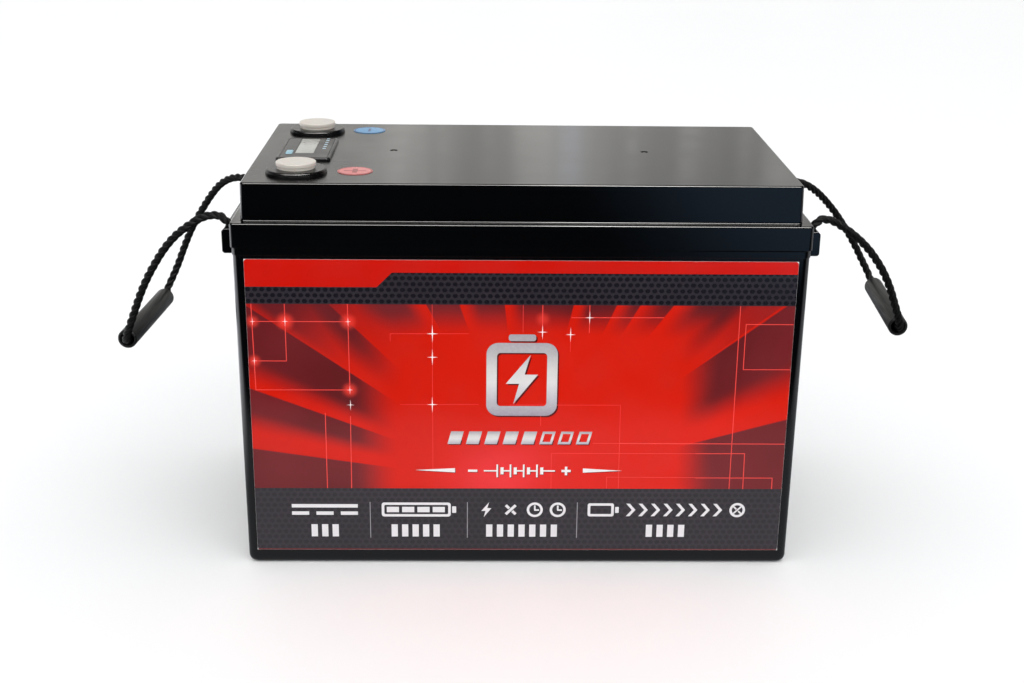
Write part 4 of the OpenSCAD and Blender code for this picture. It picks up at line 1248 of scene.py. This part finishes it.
class BATTERY_OT_lid(Maker, bpy.types.Operator):
    """Mould the lid with its rim, raised top and terminal bosses"""

    bl_idname = "battery.lid"
    bl_label = "Lid"

    def make(self, scene):
        shell = scene.battery_shell
        seam, rim_r, tier_r = shell.seam / MM, shell.rim_fillet / MM, shell.tier_fillet / MM
        cove = 0.8
        corner = 3.0
        lean_top = STEP_IN + LEAN
        outer = [(seam, JOINT_Z, corner), (0.0, JOINT_Z + seam, corner)]
        outer += [(inset, z, corner - inset)
                  for inset, z in arc((rim_r, RIM_TOP_Z - rim_r), rim_r, 180, 90, 6)]
        outer += [(inset, z, corner + STEP_IN - inset)
                  for inset, z in arc((STEP_IN - cove, RIM_TOP_Z + cove), cove, 270, 360, 4)]
        outer += [(inset, z, corner + lean_top - inset)
                  for inset, z in arc((lean_top + tier_r, LID_TOP_Z - tier_r), tier_r, 180, 90, 7)]
        inner = [
            (9.0, LID_TOP_Z - 4.0, 2.0), (9.0, RIM_TOP_Z - 3.0, 2.0), (6.0, RIM_TOP_Z - 3.0, 4.0),
            (6.0, JOINT_Z, 4.0),
        ]
        rings = [
            rounded_rect(RIM_HALF[0] - inset, RIM_HALF[1] - inset, max(r, 0.6), z)
            for inset, z, r in inner + outer
        ]
        lid = new_piece("lid_shell", loft("lid_shell", rings))
        for sy in (-1, 1):
            at = (TERMINAL[0], sy * TERMINAL[1])
            edge, ledge = 1.1, 0.22
            profile = [(BOSS_R, LID_TOP_Z - 2.0), (BOSS_R, LID_TOP_Z + 1.1),
                       (BOSS_R - ledge, LID_TOP_Z + 1.3)]
            profile += arc((BOSS_R - ledge - edge, BOSS_Z - edge), edge, 0, 90, 4)
            combine(lid, lathe("boss", profile, at, 128), "UNION")
            combine(lid, lathe("bore", [(8.02, 225.0), (8.02, 245.0)], at, 64), "DIFFERENCE")
        pit = [(1.7, LID_TOP_Z - 0.85), (2.3, LID_TOP_Z - 0.5), (2.5, LID_TOP_Z + 0.5)]
        core = [(0.9, LID_TOP_Z - 1.2), (0.9, LID_TOP_Z - 0.35)]
        for at in DIMPLES:
            combine(lid, lathe("pit", pit, at, 32), "DIFFERENCE")
            combine(lid, lathe("core", core, at, 24), "UNION")
        _, _, low, high = cad_box("meter_housing")
        wall = 2.7
        combine(lid, block("slot", (low.x + wall, low.y + wall, 226.0),
                           (high.x - wall, high.y - wall, 245.0)), "DIFFERENCE")
        coat(lid, moulded_plastic("lid_plastic", shell.plastic, shell.roughness,
                                  satin=shell.satin))
        ride(shaded(lid), "battery", "case_plastic", "lid")


class BATTERY_OT_label(Maker, bpy.types.Operator):
    """Lay the printed film on the front, panel by panel"""

    bl_idname = "battery.label"
    bl_label = "Front Label"

    def make(self, scene):
        label = scene.battery_label
        z0, z1 = LABEL_Z
        film = print_front("label_film", [[box_outline(-LABEL_X, z0, LABEL_X, z1)]],
                           printed("film_white", (0.74, 0.73, 0.72)), GAP_T, FILM_T)
        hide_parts("front_label")

        r = 1.7
        slant = [(-84.0, 177.4), (-75.1, 186.2)]
        inset = 0.06
        left, right = -LABEL_X + inset, LABEL_X - inset
        top_left = arc((left + r, z1 - inset - r), r, 180, 90, 5)
        top_right = arc((right - r, z1 - inset - r), r, 90, 0, 5)
        band = [(left, slant[0][1])] + top_left + top_right + [(right, slant[1][1])] + slant[::-1]
        mesh_band = [(left, PANEL_Z[1]), (left, slant[0][1])] + slant + [
            (right, slant[1][1]), (right, PANEL_Z[1])]
        low_left = arc((left + r, z0 + inset + r), r, 180, 270, 5)
        low_right = arc((right - r, z0 + inset + r), r, 270, 360, 5)
        info = [(left, PANEL_Z[0])] + low_left + low_right + [(right, PANEL_Z[0])]
        panels = (
            ("label_red_band", band, printed("band_red", label.band_red, 0.14)),
            ("label_mesh_band", mesh_band,
             mesh_print("mesh_charcoal", label.charcoal, label.dot, 1.0)),
            ("label_main_panel", box_outline(left, PANEL_Z[0], right, PANEL_Z[1]),
             burst_print("burst_red")),
            ("label_lower_panel", info,
             mesh_print("panel_charcoal", label.panel, tinted(label.panel, 0.55), 0.6)),
        )
        for name, outline, material in panels:
            print_front(name, [[outline]], material, FILM_T + GAP_T, PRINT_T)


class BATTERY_OT_label_lines(Maker, bpy.types.Operator):
    """Print the thin lines and the small glints on the main panel"""

    bl_idname = "battery.label_lines"
    bl_label = "Lines and Glints"

    LINES = [
        ((-156.9, 167), (-156.3, 113.4)), ((-156.5, 156.2), (-101, 156.3)),
        ((-137.6, 167), (-137.6, 131.8)), ((-156.4, 131.8), (-137.4, 131.8)),
        ((-101.1, 167), (-100.9, 113.4)), ((-156.4, 113.6), (-100.7, 113.7)),
        ((-101, 97), (-101.4, 50)), ((-115.9, 99), (-116, 50)), ((12.3, 167), (12.4, 150)),
        ((39.7, 167), (39.8, 150)), ((29.1, 159.4), (83.3, 159.6)), ((127.7, 167), (127.7, 50)),
        ((159.5, 155.7), (131.4, 155.7)), ((131.6, 155.7), (131.6, 127.4)),
        ((131.4, 127.5), (159.5, 127.5)), ((60, 79.9), (159.5, 79.7)),
        ((106.1, 73.3), (136, 73.4)), ((135.8, 73.4), (136.1, 50)),
        ((107, 57.3), (153.8, 57.3)), ((153.6, 57.3), (153.7, 50)),
    ]
    FAINT_LINES = [
        ((-52, 167), (-52.2, 62)), ((-76.7, 149), (-30.8, 149.2)), ((-76.6, 149), (-76.7, 144.2)),
        ((-71.5, 104.5), (-24.8, 104.7)), ((0.9, 167), (1, 150)), ((28.9, 149), (28.9, 138)),
        ((-6.1, 104.5), (59.8, 104.6)), ((59.7, 104.6), (60.2, 50)),
        ((12.2, 104.5), (12.3, 91)), ((43.8, 79.9), (60, 79.9)), ((19.3, 50), (19.1, 73.4)),
        ((19.1, 73.3), (106.1, 73.3)), ((53, 50), (52.9, 57.8)), ((52.7, 57.7), (107, 57.5)),
    ]
    GLINTS = [
        (-52, 149.1, 5.6), (-52.1, 134.5, 5.2), (-52.3, 104.6, 5.2), (-100.8, 104.2, 3.6),
        (39.8, 159.4, 4.2), (12.4, 150.4, 4.6), (28.9, 148.9, 4.6), (-156.5, 156.2, 2.6),
        (-137.6, 156.3, 3.2), (-101, 156.3, 2.8), (-156.4, 131.8, 2.6), (-100.9, 113.7, 2.8),
    ]

    def make(self, scene):
        label = scene.battery_label
        for name, strokes, width, colour in (
            ("label_lines", self.LINES, 0.5, label.line),
            ("label_faint_lines", self.FAINT_LINES, 0.3, label.faint_line),
        ):
            shapes = [[bar(a, b, width)] for a, b in strokes]
            print_front(name, shapes, printed(name + "_ink", colour), thickness=0.02)

        star = []
        for k in range(8):
            a = math.radians(45 * k)
            reach = (1.0 if k % 4 == 2 else 0.62) if k % 2 == 0 else 0.085
            star.append((reach * math.cos(a), reach * math.sin(a)))
        shape = new_piece("glint_shape", flat_solid("glint_shape", [star], 0.02, standing))
        points = bpy.data.meshes.new("label_glints")
        points.from_pydata(
            [Vector((x, wall_y(z) - PRINT_LEVEL - 0.03, z)) * MM for x, z, _ in self.GLINTS],
            [], [])
        sizes = points.attributes.new("size", "FLOAT", "POINT")
        sizes.data.foreach_set("value", [size for _, _, size in self.GLINTS])
        glints = grown(new_piece("label_glints", points), scatter_tree(), {
            "Shape": shape, "Material": printed("glint_white", (0.93, 0.80, 0.80)),
        })
        bpy.data.objects.remove(shape)
        ride(glints, "battery", "label_film")


BOLT = [(5.0, 15.5), (-9.5, -2.6), (-1.6, -2.6), (-5.0, -15.5), (9.5, 3.2), (1.6, 3.2)]


class BATTERY_OT_emblem(Maker, bpy.types.Operator):
    """Print the cell-and-bolt emblem, the slanted bars and the cell symbol"""

    bl_idname = "battery.emblem"
    bl_label = "Emblem"

    def make(self, scene):
        silver = silver_print("emblem_silver", 97.0, 149.0)
        shadow = printed("print_shadow", (0.10, 0.006, 0.006), 0.2)
        white = printed("print_white", (0.80, 0.76, 0.76))
        x, z = 0.7, 120.6
        half_x, half_z, stroke = 21.0, 23.0, 6.2
        in_x, in_z, top = half_x - stroke, half_z - stroke, z + half_z
        shapes = (
            [box_outline(x - half_x, z - half_z, x + half_x, top, 7.0, 8),
             box_outline(x - in_x, z - in_z, x + in_x, z + in_z, 2.2)],
            [box_outline(x - 8.0, top + 1.2, x + 8.0, top + 5.3, 1.4, 4)],
            [[(x + u, z + v) for u, v in BOLT]],
        )
        self.print_with_shadow("emblem", shapes, silver, shadow, 0.9)

        bar_h, bar_w, skew = 8.2, 7.6, 2.2
        rim = 1.5
        outer = [(0, 0), (bar_w, 0), (bar_w + skew, bar_h), (skew, bar_h)]
        slope = skew / bar_h
        hole = [
            (rim * (1 + slope), rim), (bar_w - rim * (1 - slope), rim),
            (bar_w + skew - rim * (1 + slope), bar_h - rim),
            (skew + rim * (1 - slope), bar_h - rim),
        ]
        silver_bars = silver_print("bar_silver", 78.0, 89.0)
        low = 79.2
        for ending, ink, thickness, level, drop in (
            ("s", silver_bars, STROKE_T, EMBLEM_LEVEL, 0.0),
            ("_shadows", shadow, SHADOW_T, PRINT_LEVEL, 0.6),
        ):
            for name, outlines, count, start in (
                ("level_bar", [outer], 5, -43.4), ("level_frame", [outer, hole], 3, 11.6),
            ):
                mark_row(name + ending, flat_solid(name, outlines, thickness, standing), ink,
                         count, (start + drop, wall_y(low) - level, low - drop), (11.0, 0.0, 0.0))

        wedges = (
            [[(-62.9, 62.1), (-38.9, 60.6), (-38.9, 63.4)]],
            [[(38.4, 60.6), (62.0, 61.9), (38.4, 63.4)]],
        )
        self.print_with_shadow("wedge", wedges, white, shadow, 0.4)

        mid, tall, short = 61.7, 4.2, 2.3
        cells = []
        for k in range(4):
            x = -13.4 + k * 8.0
            cells += [[bar((x, mid - tall), (x, mid + tall), 1.0)],
                      [bar((x + 2.9, mid - short), (x + 2.9, mid + short), 1.9)]]
            if k < 3:
                cells.append([bar((x + 3.8, mid), (x + 7.5, mid), 0.9)])
        cells += [
            [bar((-21.5, mid), (-13.9, mid), 0.9)], [bar((14.4, mid), (21.5, mid), 0.9)],
            [bar((-31.0, mid), (-25.4, mid), 1.5)],
            [[(28.2 + u, mid + v) for u, v in plus_outline(2.8, 2.8, 0.75, 0.75)]],
        ]
        self.print_with_shadow("cell_symbol", cells, white, shadow, 0.4)

    def print_with_shadow(self, name, shapes, ink, shadow, drop):
        print_front(name + "_print", shapes, ink, EMBLEM_LEVEL)
        under = [[[(x + drop, z - drop) for x, z in o] for o in outlines] for outlines in shapes]
        print_front(name + "_shadow", under, shadow, PRINT_LEVEL, SHADOW_T)


class BATTERY_OT_pictograms(Maker, bpy.types.Operator):
    """Print the dividers and the pictograms on the lower panel"""

    bl_idname = "battery.pictograms"
    bl_label = "Lower Panel"

    def make(self, scene):
        ink = printed("pictogram_white", scene.battery_label.pictogram)
        grey = printed("divider_grey", (0.30, 0.29, 0.31))
        dim_red = printed("footer_red", (0.16, 0.022, 0.024))
        upper, lower = 35.8, 21.7
        shapes = []

        # Direct current sign.
        x = -118.0
        shapes += [[bar((x - 20, upper + 2.4), (x + 20, upper + 2.4), 2.3)]]
        shapes += [[bar((x - 20 + 14.8 * k, upper - 2.5), (x - 9.6 + 14.8 * k, upper - 2.5), 2.3)]
                   for k in range(3)]
        # A filled cell.
        x = -61.0
        shapes += [[box_outline(x - 22.5, upper - 4.7, x + 19.5, upper + 4.7, 1.6),
                    box_outline(x - 20.9, upper - 3.1, x + 17.9, upper + 3.1, 0.8)],
                   [box_outline(x + 20.3, upper - 2.2, x + 22.8, upper + 2.2, 0.5)]]
        shapes += [[box_outline(x - 19.4 + 9.3 * k, upper - 1.8, x - 12 + 9.3 * k, upper + 1.8)]
                   for k in range(4)]
        # A bolt, a times sign and a clock.
        x = 2.2
        shapes += [[[(x - 22 + u * 0.32, upper + v * 0.32) for u, v in BOLT]]]
        shapes += [[bar((x - 10.2, upper - 3), (x - 4.2, upper + 3), 1.7)],
                   [bar((x - 10.2, upper + 3), (x - 8.1, upper + 0.9), 1.7)],
                   [bar((x - 6.3, upper - 0.9), (x - 4.2, upper - 3), 1.7)]]
        for a in (x + 7.5, x + 21.5):
            shapes += [[disc_outline(a, upper, 4.9), disc_outline(a, upper, 3.4)],
                       [bar((a, upper), (a, upper + 2.9), 1.0)],
                       [bar((a - 0.4, upper - 0.2), (a + 2.6, upper - 0.2), 1.0)]]
        # Current that flows out: a cell, arrows and a lamp.
        x = 90.0
        shapes += [[box_outline(x - 48, upper - 4.4, x - 32, upper + 4.4, 1.3),
                    box_outline(x - 46.4, upper - 2.8, x - 33.6, upper + 2.8, 0.6)],
                   [box_outline(x - 31.2, upper - 2, x - 29, upper + 2, 0.4)]]
        for k in range(8):
            a = x - 24.5 + 7.6 * k
            shapes.append([[(a, upper - 4.2), (a + 2.2, upper - 4.2), (a + 5.7, upper),
                            (a + 2.2, upper + 4.2), (a, upper + 4.2), (a + 3.5, upper)]])
        shapes += [[disc_outline(x + 43.6, upper, 4.8), disc_outline(x + 43.6, upper, 3.3)],
                   [bar((x + 41.2, upper - 2.4), (x + 46, upper + 2.4), 1.0)],
                   [bar((x + 41.2, upper + 2.4), (x + 43, upper + 0.6), 1.0)],
                   [bar((x + 44.2, upper - 0.6), (x + 46, upper - 2.4), 1.0)]]
        print_front("pictograms", shapes, ink)

        for name, count, start, step in (
            ("cell_marks", 3, -124.6, 6.4), ("charge_marks", 5, -75.8, 6.4),
            ("energy_marks", 7, -18.0, 6.6), ("current_marks", 4, 80.0, 6.6),
        ):
            mark = flat_solid("mark", [box_outline(-1.9, -4.1, 1.9, 4.1)], STROKE_T, standing)
            mark_row(name, mark, ink, count, (start, wall_y(lower) - PRINT_LEVEL, lower),
                     (step, 0, 0))
        print_front("dividers", [[bar((x, 16.8), (x, 40.8), 0.45)] for x in (-90.5, -31.4, 35.6)],
                    grey)
        print_front("footer_line", [[bar((-159.5, 9.0), (159.5, 9.0), 0.6)]], dim_red,
                    thickness=0.02)


class BATTERY_OT_caps(Maker, bpy.types.Operator):
    """Turn the two pull-off terminal caps"""

    bl_idname = "battery.caps"
    bl_label = "Terminal Caps"

    def make(self, scene):
        _, (r, _), _, (_, _, top) = cad_box("positive_cap")
        neck, edge = r - 0.7, 0.55
        profile = [(7.5, BOSS_Z + 0.6), (7.5, BOSS_Z), (9.0, BOSS_Z), (9.0, BOSS_Z - 1.5),
                   (10.1, BOSS_Z - 1.5), (10.2, BOSS_Z - 1.3), (10.2, BOSS_Z),
                   (neck - 0.15, BOSS_Z), (neck, BOSS_Z + 0.15), (neck, BOSS_Z + 1.5),
                   (neck + 0.1, BOSS_Z + 1.68), (r - 0.35, BOSS_Z + 1.72)]
        profile += arc((r - 0.35, BOSS_Z + 2.07), 0.35, 270, 360, 3)[1:]
        profile += arc((r - edge, top - 0.08 - edge), edge, 0, 85, 5)
        profile += [(r - 2.9, top - 0.05), (r - 3.05, top - 0.16), (r - 3.6, top - 0.16),
                    (r - 3.75, top - 0.04), (3.1, top - 0.1), (2.9, top - 0.02),
                    (2.3, top - 0.02), (2.1, top - 0.1), (1.2, top - 0.12)]
        cream = moulded_plastic("cap_cream", scene.battery_fitting.cap, 0.38, grain=0.1, swirl=0.06)
        tuned(cream, Subsurface_Weight=0.12, Subsurface_Scale=0.002)
        for name, sy in (("positive", -1), ("negative", 1)):
            mesh = lathe(name + "_cap_top", profile, (TERMINAL[0], sy * TERMINAL[1]))
            cap = shaded(new_piece(name + "_cap_top", mesh, cream), 28.0)
            ride(cap, name + "_cap", "cap_plastic", name + "_cap")


class BATTERY_OT_discs(Maker, bpy.types.Operator):
    """Print the polarity discs with their plus and minus"""

    bl_idname = "battery.discs"
    bl_label = "Polarity Discs"

    def make(self, scene):
        fit = scene.battery_fitting
        plus = plus_outline(6.6, 5.0, 0.8, 1.5)
        minus = box_outline(-0.8, -4.6, 0.8, 4.6)
        for name, sign, paper, ink, slot in (
            ("positive", plus, fit.positive, fit.positive_ink, "red_disc"),
            ("negative", minus, fit.negative, fit.negative_ink, "blue_disc"),
        ):
            (x, y), (r, _), _, _ = cad_box(name + "_disc")
            base = flat_solid(name + "_disc_face", [disc_outline(x, y, r, 64)], 0.3,
                              on_top(LID_TOP_Z + 0.01), 0.06)
            ride(new_piece(name + "_disc_face", base, printed(name + "_paper", paper, 0.3)),
                 "battery", slot, name + "_disc")
            level = on_top(LID_TOP_Z + 0.31)
            edge = flat_solid("edge", [disc_outline(x, y, r - 0.25, 64),
                                       disc_outline(x, y, r - 0.95, 64)], STROKE_T, level)
            mark = flat_solid("mark", [[(x + u, y + v) for u, v in sign]], STROKE_T, level)
            ride(joined(name + "_disc_print", [edge, mark], printed(name + "_ink", ink, 0.3)),
                 "battery", slot)


class BATTERY_OT_meter(Maker, bpy.types.Operator):
    """Build the meter: bezel, window, blank display, marks and wake key"""

    bl_idname = "battery.meter"
    bl_label = "Meter"

    def make(self, scene):
        fit = scene.battery_fitting
        middle, (half_x, half_y), _, (_, _, top) = cad_box("meter_housing")
        edge, frame_w, recess = 1.1, 2.0, 0.6

        def rect(inset, z, r):
            return rounded_rect(half_x - inset, half_y - inset, r, z)

        rings = [rect(2.85, 228.0, 1.0), rect(2.85, LID_TOP_Z, 1.0), rect(0.0, LID_TOP_Z, 2.5)]
        rings += [rect(inset, z, 2.5 - inset) for inset, z in
                  arc((edge, top - edge), edge, 180, 90, 5)]
        rings += [rect(frame_w - 0.2, top, 1.7), rect(frame_w, top - 0.2, 1.5),
                  rect(frame_w, top - recess, 1.5)]
        bezel = new_piece("meter_bezel", loft("meter_bezel", rings, middle))
        _, pane_half, pane_low, pane_high = cad_box("meter_window")
        window = new_piece("meter_face", loft("meter_face", [
            rounded_rect(*pane_half, 1.4, z) for z in (pane_low.z, pane_high.z)], middle))
        (key_x, key_y), _, key_low, key_high = cad_box("meter_key")
        _, _, lcd_low, lcd_high = cad_box("meter_lcd")
        wide, deep, gap = 2.0, 4.7, 0.15
        for x0, y0, x1, y1 in (
            (lcd_low.x, lcd_low.y, lcd_high.x, lcd_high.y),
            (key_x - wide, key_y - deep, key_x + wide, key_y + deep),
        ):
            for piece in (bezel, window):
                cutter = block("cutter", (x0 - gap, y0 - gap, 220.0), (x1 + gap, y1 + gap, 250.0))
                combine(piece, cutter, "DIFFERENCE")
        coat(bezel, tuned(moulded_plastic("bezel_black", fit.bezel, 0.22),
                          Specular_IOR_Level=0.25))
        coat(window, tuned(printed("face_black", (0.011, 0.0115, 0.0125), 0.2, 0.2),
                           Specular_IOR_Level=0.15))
        ride(shaded(bezel), "battery", "meter_plastic", "meter_housing")
        ride(shaded(window), "battery", "meter_film", "meter_window")

        glass = block("meter_display", lcd_low, (lcd_high.x, lcd_high.y, pane_high.z - 0.06),
                      0.2, 2)
        display = new_piece("meter_display", glass, blank_display("display_grey", fit.display))
        ride(display, "battery", "lcd_glass", "meter_lcd")

        blue = moulded_plastic("key_blue", fit.key, 0.3, swirl=0.08)
        stem = block("stem", key_low, (key_high.x, key_high.y, key_low.z + 1.0))
        cap = block("cap", (key_x - wide, key_y - deep, key_low.z + 0.5),
                    (key_x + wide, key_y + deep, key_high.z), 0.45)
        ride(joined("meter_key_cap", [stem, cap], blue), "wake_key", "key_plastic", "meter_key")

        ink = printed("mark_blue", fit.gauge, 0.3)
        mark = flat_solid("mark", [box_outline(-1.0, -1.3, 1.0, 1.3, 0.3)], STROKE_T, on_top(0.0))
        mark_row("meter_marks", mark, ink, fit.mark_count,
                 (-121.5, -2.0, pane_high.z + 0.005), (0.0, 6.0, 0.0), "meter_film")


SLOT_MATERIALS = {
    "seal_rubber": lambda: rubber("seal_rubber", (0.03, 0.03, 0.03)),
    "brass": lambda: metal("plated_brass", (0.62, 0.45, 0.18), 0.3),
    "rope": lambda: rubber("rope_knot", (0.006, 0.006, 0.0065)),
    "cell_can": lambda: sleeved_can("cell_sleeve", (0.05, 0.14, 0.42)),
    "aluminium": lambda: metal("aluminium", (0.70, 0.71, 0.72), 0.35),
    "copper": lambda: metal("copper", (0.72, 0.34, 0.17), 0.3, (30.0, 1.0, 1.0)),
    "tinned_copper": lambda: metal("tinned_copper", (0.68, 0.64, 0.57), 0.32),
    "steel": lambda: metal("zinc_steel", (0.60, 0.61, 0.63), 0.34, (1.0, 30.0, 1.0)),
    "insulator": lambda: board_sheet("epoxy_board", (0.55, 0.48, 0.22)),
    "foam": lambda: foam("cell_foam", (0.05, 0.052, 0.056)),
    "circuit_board": lambda: circuit_board("solder_mask", (0.006, 0.055, 0.018)),
    "chip_plastic": lambda: moulded_plastic("moulded_epoxy", (0.010, 0.010, 0.010), 0.5, 0.2),
    "socket_plastic": lambda: moulded_plastic("nylon", (0.66, 0.63, 0.55), 0.45, 0.1, 0.06),
    "cable_red": lambda: rubber("cable_red", (0.38, 0.012, 0.012)),
    "cable_black": lambda: rubber("cable_black", (0.012, 0.012, 0.012)),
    "cable_yellow": lambda: rubber("cable_yellow", (0.55, 0.33, 0.02)),
}


class BATTERY_OT_inside(Maker, bpy.types.Operator):
    """Give every part inside the case its own finish"""

    bl_idname = "battery.inside"
    bl_label = "Inner Parts"

    def make(self, scene):
        slots = {row["node"]: row["material_slot"] for row in frame["record"]["subparts"]}
        made = {}
        for name, node in frame["nodes"].items():
            slot = slots[name]
            if node.hide_render or slot not in SLOT_MATERIALS:
                continue
            if slot not in made:
                made[slot] = SLOT_MATERIALS[slot]()
            node.data.materials.clear()
            node.data.materials.append(made[slot])


OPERATORS = (
    BATTERY_OT_stage, BATTERY_OT_ropes, BATTERY_OT_case, BATTERY_OT_lid, BATTERY_OT_label,
    BATTERY_OT_label_lines, BATTERY_OT_emblem, BATTERY_OT_pictograms, BATTERY_OT_caps,
    BATTERY_OT_discs, BATTERY_OT_meter, BATTERY_OT_inside,
)
PROPERTY_NAMES = (
    "battery_shell", "battery_rope", "battery_label", "battery_fitting", "battery_stage",
)


class BATTERY_PT_panel(bpy.types.Panel):
    """Lists the makers and the settings of the battery"""

    bl_idname = "BATTERY_PT_panel"
    bl_label = "Deep Cycle Battery"
    bl_space_type = "VIEW_3D"
    bl_region_type = "UI"
    bl_category = "Battery"

    def draw(self, context):
        for operator in OPERATORS:
            self.layout.operator(operator.bl_idname)
        for group in PROPERTY_NAMES:
            box = self.layout.box()
            values = getattr(context.scene, group)
            for name in type(values).__annotations__:
                box.prop(values, name)


def register():
    for kind in SETTINGS + OPERATORS + (BATTERY_PT_panel,):
        bpy.utils.register_class(kind)
    for name, kind in zip(PROPERTY_NAMES, SETTINGS):
        setattr(bpy.types.Scene, name, PointerProperty(type=kind))


def unregister():
    for name in PROPERTY_NAMES:
        delattr(bpy.types.Scene, name)
    for kind in reversed(SETTINGS + OPERATORS + (BATTERY_PT_panel,)):
        bpy.utils.unregister_class(kind)


def main():
    register()
    bpy.ops.battery.stage()
    bpy.ops.battery.ropes()
    bpy.ops.battery.case()
    bpy.ops.battery.lid()
    bpy.ops.battery.label()
    bpy.ops.battery.label_lines()
    bpy.ops.battery.emblem()
    bpy.ops.battery.pictograms()
    bpy.ops.battery.caps()
    bpy.ops.battery.discs()
    bpy.ops.battery.meter()
    bpy.ops.battery.inside()


if __name__ == "__main__":
    main()
